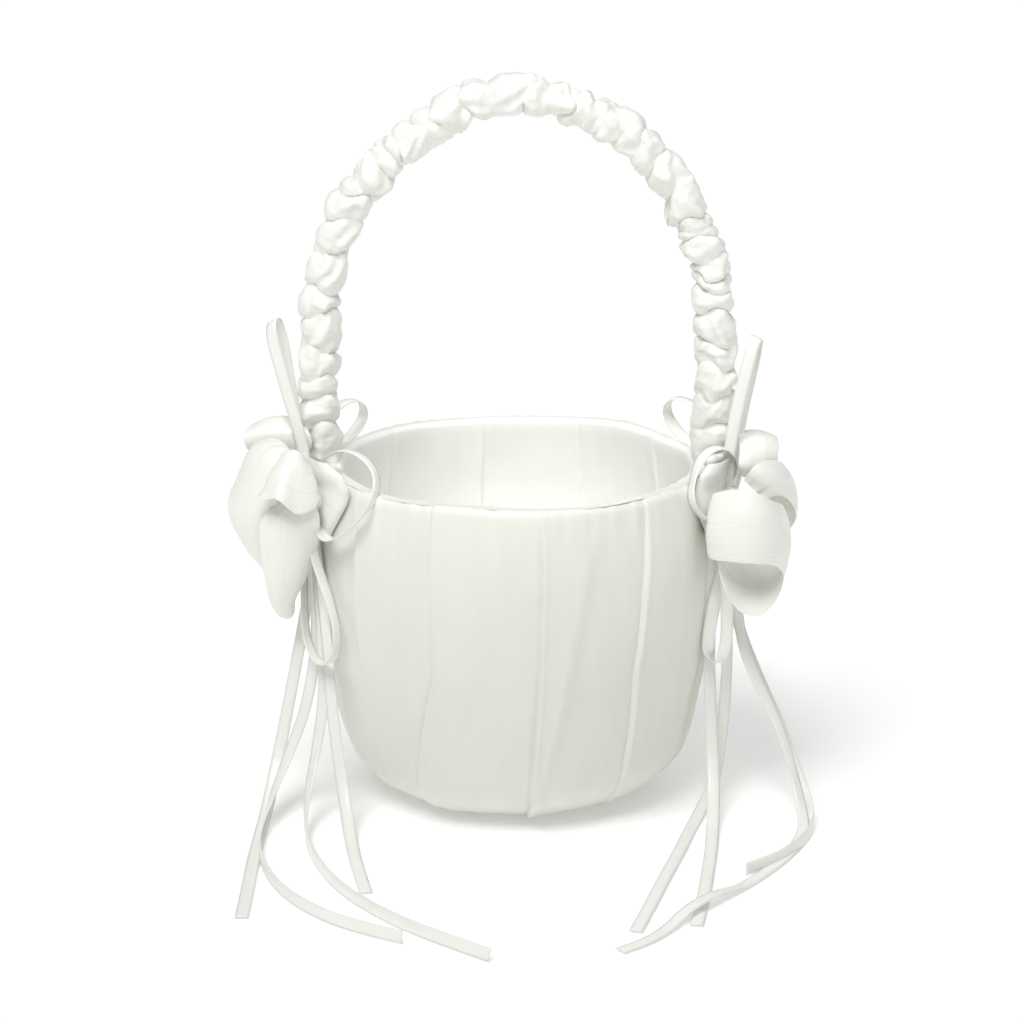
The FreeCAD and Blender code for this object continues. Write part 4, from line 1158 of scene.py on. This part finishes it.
@dataclass
class Handle:
    """Hoop handle: the ruched sleeve round its flat strip.

    creases gives, in millimetres along the strip from the right foot, where each crease of the
    sleeve crosses its outer and its inner side. sway gives how far the sleeve hangs outward of
    the strip, in millimetres, at places along it. snug is the sleeve's radius in a crease, in
    millimetres. The track is the CAD handle's: a flare at each foot, a leaning leg, a shoulder
    arc and one arc over the crown.
    """

    start: tuple[float, float] = (0.0775945, 0.1310476)
    heading: float = 97.59
    flare_radius: float = 0.070
    flare_turn: float = 5.0
    ease_radius: float = 0.150
    reach: float = 0.0785
    crown: float = 0.2799
    lean: float = 4.0
    shoulder: float = 0.095
    shoulder_turn: float = 60.0
    sleeve: float = 0.0070
    deep: float = 0.97
    wide: float = 1.06
    strip: tuple[float, float] = (0.0008, 0.0050)
    rings: int = 660
    columns: int = 72
    snug: float = 5.0
    creases: tuple[tuple[float, float], ...] = (
        (8, 6), (19, 15), (32, 30), (41, 42), (50, 54), (62, 64), (70.5, 76), (77, 81), (84.5, 85.5),
        (91, 94), (96, 98.5), (101, 101), (115.5, 113), (129, 127), (138, 137), (150.5, 147), (159, 155.5),
        (166, 161.5), (170, 171), (177, 174), (182, 187), (199, 197), (209, 208), (222, 219),
        (231, 227), (239, 241), (244, 244), (249, 249.5), (260, 259), (267, 265), (280, 273), (291, 287),
        (304, 306), (318, 313), (329, 331), (341, 341), (350, 348), (362, 360), (370, 371))
    sway: tuple[tuple[float, float], ...] = (
        (0, 0), (50, 0), (75, 0.2), (88, 0.8), (105, -0.5), (117, 1.4), (128, 0.8), (140, 2.0),
        (152, 0.2), (170, -0.8), (200, -0.6), (212, -0.5), (225, -1.8), (237, -1.4), (247, -0.8), (258, -2.2),
        (270, 0.8), (285, 0), (299, -1.0), (312, 0.4), (324, -1.4), (345, 0), (378, 0))

    def path(self) -> tuple[np.ndarray, np.ndarray, float]:
        """Middle line of the strip from the right foot over the top to the left foot.

        Returns:
            Points (x, z), outward normals (x, z) and the length.
        """
        spread = math.radians(90.0 - self.flare_turn)
        flare = ("arc", self.flare_radius, -(self.heading - 90.0 + self.flare_turn))
        out = self.turtle(self.start, self.heading, [flare])[-1]
        ease_dx = self.ease_radius * (1.0 - math.sin(spread))
        first = [flare, ("line", (self.reach - out[0] - ease_dx) / math.cos(spread), 0.0),
                 ("arc", self.ease_radius, self.flare_turn + self.lean)]
        low = self.turtle(self.start, self.heading, first)[-1]
        a = math.radians(90.0 + self.lean)
        b = a + math.radians(self.shoulder_turn)
        x = self.shoulder * (math.sin(a) - math.sin(b)) - low[0]
        z = self.crown - low[1] - self.shoulder * (math.cos(a) - math.cos(b))
        share = math.cos(a) * (1.0 + math.cos(b)) + math.sin(a) * math.sin(b)
        rise = (x * (1.0 + math.cos(b)) + z * math.sin(b)) / share
        bend = (z * math.cos(a) - x * math.sin(a)) / share
        leg = first + [("line", rise, 0.0), ("arc", self.shoulder, self.shoulder_turn)]
        track = leg + [("arc", bend, 2.0 * (90.0 - self.lean - self.shoulder_turn))] + leg[::-1]
        dense = np.array(self.turtle(self.start, self.heading, track))
        reach = reach_along(dense[:, :2])
        even = np.linspace(0.0, reach[-1], self.rings)
        points = np.stack([np.interp(even, reach, dense[:, i]) for i in (0, 1)], axis=1)
        angle = np.radians(np.interp(even, reach, dense[:, 2]))
        normals = np.stack([np.sin(angle), -np.cos(angle)], axis=1)
        return points, normals, float(reach[-1])

    def turtle(self, start: tuple[float, float], heading: float,
               moves: list[tuple[str, float, float]]) -> list[tuple[float, float, float]]:
        """Points (x, z, heading) about every millimetre of a path of lines and arcs."""
        x, z = start
        points = [(x, z, heading)]
        for kind, size, turn in moves:
            span = abs(size) if kind == "line" else size * math.radians(abs(turn))
            count = max(2, int(span / 0.001))
            for _ in range(count):
                heading += turn / count / 2.0
                x += span / count * math.cos(math.radians(heading)) * math.copysign(1.0, size)
                z += span / count * math.sin(math.radians(heading)) * math.copysign(1.0, size)
                heading += turn / count / 2.0
                points.append((x, z, heading))
        return points

    def crease_lines(self, rng: np.random.Generator, angle: np.ndarray, total: float) -> np.ndarray:
        """Where each crease runs, in millimetres along the sleeve: one row a crease.

        Args:
            rng: draws how the lines wander over the front and the back.
            angle: angle round the sleeve, 1 x columns, 0 on the outer side.
            total: length of the sleeve, in millimetres.
        """
        beyond, overlap = 9.0, 0.5
        pairs = np.array(((-beyond, -beyond),) + self.creases + ((total + beyond,) * 2,))
        order = np.arange(len(pairs))[:, None] + 0.0
        waves = np.stack([2.0 * np.cos(angle[0] + t) + 1.3 * np.cos(2.0 * angle[0] + u)
                          for t, u in rng.uniform(0.0, 2.0 * math.pi, (len(pairs), 2))])
        lines = (pairs.mean(axis=1)[:, None] + (pairs[:, :1] - pairs[:, 1:]) / 2.0 * np.cos(angle)
                 + waves * np.abs(np.sin(angle)) * smooth(0.0, 4.0, order))
        return np.maximum.accumulate(lines + overlap * order, axis=0) - overlap * order

    def puffs(self, along: np.ndarray, angle: np.ndarray) -> np.ndarray:
        """Radius of the gathered sleeve: rounded puffs with sharp creases between them.

        Args:
            along: length along the sleeve, rows x 1.
            angle: angle round the sleeve, 1 x columns, 0 on the outer side.
        """
        rng = np.random.default_rng(77)
        lines = self.crease_lines(rng, angle, float(along.max()) / MM)
        count = len(lines)
        place = along / MM + 1.5 * Ripple(301, 3, 0.016).at(angle, along) * np.abs(np.sin(angle))
        held = np.stack([0.5 + 0.5 * np.cos(angle[0] + t)
                         for t in rng.uniform(0.0, 2.0 * math.pi, count)])
        held = 1.0 - held * rng.uniform(0.2, 0.95, (count, 1))
        number = np.zeros((len(along), angle.shape[1]), dtype=int)
        for line in lines:
            number += place >= line[None, :]
        number = np.clip(number - 1, 0, count - 2)
        column = np.broadcast_to(np.arange(angle.shape[1]), number.shape)
        low, high = lines[number, column], lines[number + 1, column]
        gap = np.maximum(high - low, 0.4)
        f = np.clip((place - low) / gap, 0.0, 1.0)
        skewed = f ** rng.uniform(0.62, 1.5, count)[number]
        plump = 1.1 + 2.3 * smooth(1.0, 9.0, gap) - 0.7 * smooth(13.0, 22.0, gap)
        sides = np.where(f < 0.5, held[number, column], held[number + 1, column])
        sides = sides * (1.0 - smooth(0.35, 0.5, f) * smooth(0.35, 0.5, 1.0 - f))
        power = 2.0 + 1.2 * smooth(10.0, 20.0, gap)
        lobe = (1.0 - np.abs(2.0 * skewed - 1.0) ** power) ** 0.7
        radius = self.snug + plump * (1.0 - sides * (1.0 - lobe))
        radius = radius + 0.5 * Ripple(302, 2, 0.03).at(angle, along)
        near = np.minimum(f, 1.0 - f) * gap
        side = number + (f > 0.5)
        spin, folds = rng.uniform(0.0, 2.0 * math.pi, count)[side], rng.integers(3, 7, count)[side]
        gather = 1.0 - 2.0 * np.abs(np.sin(folds * angle / 2.0 + spin + 0.2 * near))
        radius = radius + 0.6 * gather * np.exp(-((near - 1.4) / 3.0) ** 2) * smooth(2.0, 6.0, gap)
        for shift, size in ((-2.1, 1.15), (-1.2, 0.9), (1.5, 1.0)):
            turn = shift + rng.uniform(-0.6, 0.6, count)[number]
            turn = turn + rng.uniform(-1.6, 1.6, count)[number] * (f - 0.5)
            away = (angle - turn + math.pi) % (2.0 * math.pi) - math.pi
            ridge = np.exp(-np.abs(away) / 0.20) - 0.8 * np.exp(-((away - 0.45) / 0.3) ** 2)
            radius = radius + size * ridge * smooth(5.0, 12.0, gap) * lobe
        radius = radius + 0.25 * Ripple(303, 5, 0.007).at(angle, along)
        return radius * MM

    def cover_strip(self, angle: np.ndarray, sway: np.ndarray) -> np.ndarray:
        """Least radius at which the sleeve still goes round the strip.

        Args:
            angle: angle round the sleeve, 1 x columns.
            sway: how far the sleeve's middle is outward of the strip's, rows x 1.
        """
        thick, wide = (half + 0.0005 for half in self.strip)
        dx, dy = self.deep * np.cos(angle), self.wide * np.sin(angle)
        reach = np.where(dx > 0.0, thick - sway, thick + sway)
        return np.minimum(np.maximum(reach, 0.0) / np.maximum(np.abs(dx), 1e-6),
                          wide / np.maximum(np.abs(dy), 1e-6))

    def ruched(self, material: bpy.types.Material) -> None:
        """The long gathered sleeve round the strip."""
        points, normals, total = self.path()
        along = np.linspace(0.0, total, self.rings)[:, None]
        angle = np.linspace(0.0, 2.0 * math.pi, self.columns, endpoint=False)[None, :]
        sway = np.interp(along / MM, *zip(*self.sway)) * MM
        radius = self.puffs(along, angle)
        ends = smooth(0.0, 0.006, along) * smooth(0.0, 0.006, total - along)
        radius = np.maximum(radius * (0.72 + 0.28 * ends), self.cover_strip(angle, sway))
        wide = self.wide * np.sin(angle) * radius
        deep = self.deep * np.cos(angle) * radius + sway
        x = points[:, 0:1] + normals[:, 0:1] * deep
        z = points[:, 1:2] + normals[:, 1:2] * deep
        grid = np.stack([x, wide, z], axis=-1)[:, ::-1]
        cloth_u = np.linspace(0.0, 2.0 * math.pi * self.sleeve, self.columns + 1)[None, :]
        cloth = np.stack(np.broadcast_arrays(cloth_u, along * 1.6), axis=-1)
        obj = grid_object("handle_sleeve_satin", grid, cloth, True)
        thicken(obj, 0.0003, -1.0)
        settle(obj, material, ["handle_sleeve"])


@dataclass
class SleeveEnd:
    """Flattened end of the sleeve, draped over the rim and down over one foot.

    rows lists, from the top down, the angle round the tub of the two edges in degrees and the
    height of each edge in millimetres.
    """

    name: str
    rows: list[tuple[float, float, float, float]]
    stand: float = 0.0027
    seed: int = 9

    def build(self, material: bpy.types.Material, outline: TubOutline) -> None:
        """Lay the cloth on the wall with a soft crown over the strip."""
        keys = np.array(self.rows, dtype=float)
        count, cols = 48, 26
        t = np.linspace(0.0, len(keys) - 1.0, count)
        lanes = [np.interp(t, np.arange(len(keys)), keys[:, i]) for i in range(4)]
        for _ in range(3):
            lanes = [np.concatenate([[v[0]], (v[:-2] + v[1:-1] * 2.0 + v[2:]) / 4.0, [v[-1]]]) for v in lanes]
        v = np.linspace(0.0, 1.0, cols)[None, :]
        angle = np.radians(lanes[0][:, None] * (1.0 - v) + lanes[1][:, None] * v)
        height = (lanes[2][:, None] * (1.0 - v) + lanes[3][:, None] * v) * MM
        wall = np.vectorize(outline.radius_at)(np.minimum(height, outline.top - outline.roll))
        crown = (4.0 * v * (1.0 - v)) ** 0.6
        pinch = 1.0 - smooth(count * 0.88, count - 1.0, np.arange(count))[:, None] * 0.7
        pull = Ripple(self.seed, 5, 0.012).at(v * 3.0, height) * 0.0005
        clear_of_cover, clear_of_rim = 0.0007, 0.0022
        over = smooth(0.129, 0.140, height) * clear_of_rim
        out = clear_of_cover + (self.stand + pull) * crown * pinch + over
        radius = wall + out
        grid = np.stack([radius * np.cos(angle), radius * np.sin(angle), height], axis=-1)
        cloth = np.stack(np.meshgrid(np.linspace(0, 0.02, cols), np.linspace(0, 0.035, count)), axis=-1)
        if (grid[0, 0, 1] - grid[0, -1, 1]) * grid[0, 0, 0] > 0.0:
            grid = grid[:, ::-1]
        obj = grid_object(self.name + "_satin", grid, cloth)
        thicken(obj, 0.0005)
        settle(obj, material, [self.name])


# ------------------------------------------------------------------ wide bows

@dataclass
class BowLoop:
    """One loop of the wide ribbon.

    stations go along the ribbon. Each gives its two edges and how far its middle bulges, all
    in millimetres. gather is how much the ribbon is creased where it goes into the knot and
    frill how far its second edge waves, in millimetres.
    """

    name: str
    node: str
    stations: list[tuple[tuple[float, float, float], tuple[float, float, float], float]]
    gather: float = 0.7
    seed: int = 1
    frill: float = 0.0
    rows: int = 84
    columns: int = 40
    ribbon: float = 0.038

    def spread(self, keys: np.ndarray) -> np.ndarray:
        """Smooth curve through the keys, one row each, sampled evenly in the key number."""
        padded = np.concatenate([2 * keys[:1] - keys[1:2], keys, 2 * keys[-1:] - keys[-2:-1]])
        t = np.linspace(0.0, len(keys) - 1.0, self.rows)
        k = np.minimum(t.astype(int), len(keys) - 2)
        f = (t - k)[:, None]
        a, b, c, d = (padded[k + i] for i in range(4))
        return 0.5 * (2 * b + (c - a) * f + (2 * a - 5 * b + 4 * c - d) * f ** 2
                      + (3 * b - a - 3 * c + d) * f ** 3)

    def build(self, material: bpy.types.Material) -> None:
        """Loft the ribbon through its stations and crease it."""
        keys = np.array([[*a, *b, c] for a, b, c in self.stations], dtype=float) * MM
        lanes = self.spread(keys)
        first, last, bulge = lanes[:, 0:3], lanes[:, 3:6], lanes[:, 6:7]
        along = np.gradient((first + last) / 2.0, axis=0)
        normal = unit(np.cross(last - first, along))
        middle = (first + last) / 2.0
        if ((middle - middle.mean(axis=0)) * normal).sum() < 0.0:
            normal = -normal
        v = np.linspace(0.0, 1.0, self.columns)[None, :]
        u = np.linspace(0.0, 1.0, self.rows)[:, None]
        flat = first[:, None, :] * (1.0 - v[..., None]) + last[:, None, :] * v[..., None]
        crown = 4.0 * v * (1.0 - v) * bulge
        width = np.linalg.norm(last - first, axis=1)[:, None]
        slack = np.clip(1.0 - width / self.ribbon, 0.0, 0.8)
        rng = np.random.default_rng(self.seed)
        relief = 0.0 * (u + v)
        for count in (2, 3, 5):
            shift = rng.uniform(0.0, 6.28)
            sway = rng.uniform(-2.0, 2.0)
            relief = relief + np.cos(2.0 * math.pi * count * v + shift + sway * u) / count
        ends = np.exp(-u / 0.16) + np.exp(-(1.0 - u) / 0.16)
        relief = relief * self.gather * 0.0018 * (0.2 + 1.2 * slack) * (0.04 + ends ** 1.5)
        relief = relief + self.frill * MM * v ** 1.4 * np.sin(2.0 * math.pi * 2.6 * u + 0.8)
        relief = relief + 0.0004 * Ripple(self.seed + 7, 4, 0.3).at(u * 3.0 + 0.0 * v, v * 0.2 + 0.0 * u)
        grid = flat + normal[:, None, :] * (crown + relief)[..., None]
        length = float(reach_along(grid[:, self.columns // 2])[-1])
        cloth = np.stack(np.meshgrid(np.linspace(0.0, self.ribbon, self.columns),
                                     np.linspace(0.0, length, self.rows)), axis=-1)
        if (np.cross(last - first, along) * normal).sum() > 0.0:
            grid, cloth = grid[:, ::-1], cloth[:, ::-1]
        obj = grid_object(self.name, grid, cloth)
        thicken(obj, 0.00045)
        edge = obj.modifiers.new("Smooth", "SUBSURF")
        edge.levels = edge.render_levels = 1
        settle(obj, material, [self.node])


def bow_loops() -> list[BowLoop]:
    """The seven loops of the two wide bows."""
    return [
        BowLoop("bow_left_back_loop", "bow_left_back_petal", [
            ((-86, -2, 130), (-96, -1, 131), 0), ((-83, -5, 136), (-104, -2, 136), 0),
            ((-80.5, -9, 142.5), (-107.5, -5, 142), 0), ((-82, -7, 148), (-107, -2, 146), 1),
            ((-84, 2, 149.5), (-104, 7, 147), 2), ((-84, 8, 144), (-102, 12, 140), 1),
            ((-85, 6, 137), (-99, 8, 135), 1), ((-86, -1, 131), (-95, 0, 131), 0)], 0.4, 31),
        BowLoop("bow_left_side_loop", "bow_left_side_petal", [
            ((-84, -18, 134), (-84, -28, 128), 0), ((-93, -12, 145), (-85, -29, 140), 1),
            ((-103.5, -13, 143), (-90, -30, 140), 2), ((-109.5, -16, 131), (-93, -32, 129), 4),
            ((-113, -19, 120), (-95, -33, 117), 4), ((-108.5, -20, 107), (-95, -31, 107), 3),
            ((-101, -22, 98), (-96, -28, 98), 1), ((-100, -12, 104), (-93, -20, 103), 1),
            ((-96, -6, 118), (-90, -16, 116), 1), ((-86, -14, 128), (-84, -20, 122), 0)],
            1.0, 37, -1.2),
        BowLoop("bow_left_front_loop", "bow_left_front_petal", [
            ((-92, -22, 141), (-99, -36, 129), 0), ((-90, -30, 145), (-98, -41, 129), 1),
            ((-87, -34, 147), (-93, -45, 130.5), 1), ((-85, -35, 147), (-88, -46, 127), 1),
            ((-83, -34, 145), (-83, -44, 124), 2), ((-81.5, -31, 142), (-78.5, -37, 125), 2),
            ((-82, -27, 137), (-79.5, -31, 129), 1)], 0.5, 41, 0.9),
        BowLoop("bow_left_lower_loop", "bow_left_lower_petal", [
            ((-89, -32, 127), (-79, -31, 127), 1), ((-99, -34, 119), (-76.5, -33, 119), 4),
            ((-99.5, -35, 106), (-78, -29, 106), 5), ((-98, -35, 94), (-82.5, -28, 94), 5),
            ((-96, -33, 84), (-87, -29, 85), 3), ((-93, -28, 77.5), (-87.5, -25, 79.5), 2),
            ((-95, -21, 84), (-87.5, -18, 88), 3), ((-95, -17, 103), (-85, -14, 104), 3),
            ((-88, -24, 120), (-84, -22, 120), 1)], 0.5, 43),
        BowLoop("bow_right_top_loop", "bow_right_top_petal", [
            ((87, -16, 132), (97, -14, 131), 1), ((86.5, -20, 137), (101.5, -12, 134.5), 2),
            ((87, -15, 142), (103, -8, 141), 2), ((87, -6, 145), (103, -1, 143), 2),
            ((88, 4, 144), (103, 7, 140), 2), ((88, 7, 138), (101, 9, 135), 2),
            ((87, 0, 131), (97, 2, 131), 1)], 0.4, 47),
        BowLoop("bow_right_side_loop", "bow_right_side_petal", [
            ((88, -27, 133), (96, -29, 125), 1), ((91, -28, 138), (102, -24, 126), 2),
            ((97, -20, 139), (108, -14, 120), 3), ((104, -10, 135), (110.5, -7, 112), 3),
            ((101, -4, 127), (107.5, -3, 105), 3), ((94, -8, 120), (102, -10, 106), 2),
            ((88, -18, 122), (96, -20, 115), 1)], 0.25, 53),
        BowLoop("bow_right_lower_loop", "bow_right_lower_petal", [
            ((80, -30, 127), (78, -31, 116), 0), ((76, -36, 130), (74, -38, 105.5), 2),
            ((83, -41, 133), (82.5, -46, 105.5), 3), ((92, -42, 132), (92, -47, 105), 3),
            ((99, -36, 127), (99.5, -41, 102.5), 3), ((103, -27, 123), (104, -30, 95), 3),
            ((101, -20, 121), (101.5, -36, 88), 4), ((94, -17, 120), (94, -43.5, 83), 5),
            ((88, -18, 120), (85.5, -44, 85.5), 4), ((83, -24, 122), (79, -40, 97), 2),
            ((81, -28, 124), (78, -33, 110), 0)], 0.22, 59),
    ]


@dataclass
class Knot:
    """A tied or gathered middle, as turns of cloth round a short core."""

    name: str
    nodes: list[str]
    centre: tuple[float, float, float]
    axis: tuple[float, float, float]
    half_length: float
    radius: float
    turns: int
    seed: int
    slot: str = "wide_ribbon"

    def build(self, material: bpy.types.Material) -> None:
        """Make the wrapped body with its creases."""
        rows, cols = 56, 40
        axis = np.array(Vector(self.axis).normalized())
        side = np.array(Vector(self.axis).orthogonal().normalized())
        other = np.cross(axis, side)
        t = np.linspace(0.0, 1.0, rows)[1:-1, None]
        angle = np.linspace(0.0, 2.0 * math.pi, cols, endpoint=False)[None, :]
        shape = np.sin(t * math.pi) ** 0.35
        wraps = np.abs(np.sin(math.pi * self.turns * t + 0.35 * np.sin(angle)))
        dents = Ripple(self.seed, 4, 0.02).at(angle, t * self.half_length * 2.0)
        radius = self.radius * shape * (0.88 + 0.12 * wraps ** 0.5) * (1.0 + 0.05 * dents)
        along = (2.0 * t - 1.0) * self.half_length * (1.0 + 0.0 * angle)
        grid = (np.array(self.centre) + along[..., None] * axis
                + (radius * np.cos(angle))[..., None] * side + (radius * np.sin(angle))[..., None] * other)
        cloth = np.stack(np.meshgrid(np.linspace(0.0, 0.03, cols + 1),
                                     np.linspace(0.0, 0.02, rows - 2)), axis=-1)
        obj = grid_object(self.name, grid, cloth, True)
        tube_caps(obj, cols)
        settle(obj, material, self.nodes)


def middle_of(node: str) -> tuple[float, float, float]:
    """Middle of a CAD node's box."""
    low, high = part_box(node)
    return tuple((a + b) / 2.0 for a, b in zip(low, high))


def knots() -> list[Knot]:
    """Centres, gathered tails and ribbon knots of the two bows."""
    made = []
    for side, sign in (("left", -1.0), ("right", 1.0)):
        outward = (0.93 * sign, -0.37, 0.0)
        centre, stem, cluster = "bow_%s_centre" % side, "bow_%s_stem" % side, "ribbon_knot_%s" % side
        made += [
            Knot("bow_%s_fold" % side, [centre], middle_of(centre), outward, 0.0042, 0.0052, 2, 81),
            Knot("bow_%s_tails" % side, [stem], middle_of(stem), outward, 0.0058, 0.0040, 3, 83),
            Knot("ribbon_%s_wraps" % side, [cluster], middle_of(cluster), (0.0, 1.0, 0.0),
                 0.0060, 0.0036, 4, 85, "thin_ribbon"),
        ]
    return made


# ------------------------------------------------------------------ everything

def dress_hidden(materials: dict[str, bpy.types.Material]) -> None:
    """Give the CAD nodes that stay, all hidden inside the satin, their own finishes."""
    dressed = {"tub_shell": "card", "floor_card": "card", "handle_strip": "strip_plastic",
               "handle_rivets": "rivet_metal"}
    for node, finish in dressed.items():
        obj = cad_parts[node]
        obj.data.materials.clear()
        obj.data.materials.append(materials[finish])
        LOG.info("CAD node %s wears %s", node, finish)


def main() -> None:
    """Build the studio, the ribbons and the basket."""
    logging.basicConfig(level=logging.INFO, format="%(name)s: %(message)s")
    studio = Studio()
    studio.camera()
    groups = {"weave": weave_group(), "crumple": crumple_group(), "grain": grain_group()}
    materials = {key: finish.material(groups) for key, finish in FINISHES.items()}
    for ribbon in narrow_ribbons():
        ribbon.build(materials["thin_ribbon"])

    tub = Tub()
    tub.cover(materials["satin"])
    tub.wadding(materials["wadding"])
    tub.rim(materials["wadding"])
    tub.lining(materials["lining_satin"])
    tub.pad(materials["lining_satin"])
    tub.base(materials["base_cloth"])
    dress_hidden(materials)

    handle = Handle()
    handle.ruched(materials["ruched_satin"])
    SleeveEnd("sleeve_end_left", [(171, 204, 138, 141), (170, 212, 130, 139), (170, 214, 121, 133),
                                  (171, 212, 112, 126), (173, 208, 105, 119), (177, 203, 100, 111)],
              stand=0.0046, seed=9).build(materials["ruched_satin"], tub.outline)
    SleeveEnd("sleeve_end_right", [(9, -22, 138, 140), (10, -27, 130, 137), (10, -28, 119, 129),
                                   (9, -26, 108, 120), (5, -20, 100, 110)],
              stand=0.0062, seed=10).build(materials["ruched_satin"], tub.outline)
    for loop in bow_loops():
        loop.build(materials["wide_ribbon"])
    for knot in knots():
        knot.build(materials[knot.slot])

    seam_radius, seam_height = 0.0315, 0.0001
    turn = np.linspace(0.0, 2.0 * math.pi, 240, endpoint=False)
    ring = np.stack([seam_radius * np.cos(turn), seam_radius * np.sin(turn),
                     0.0 * turn + seam_height], axis=1)
    StitchRow("base_stitches").sew(ring, materials["thread"])

    studio.lights()
    studio.floor()


if __name__ == "__main__":
    main()
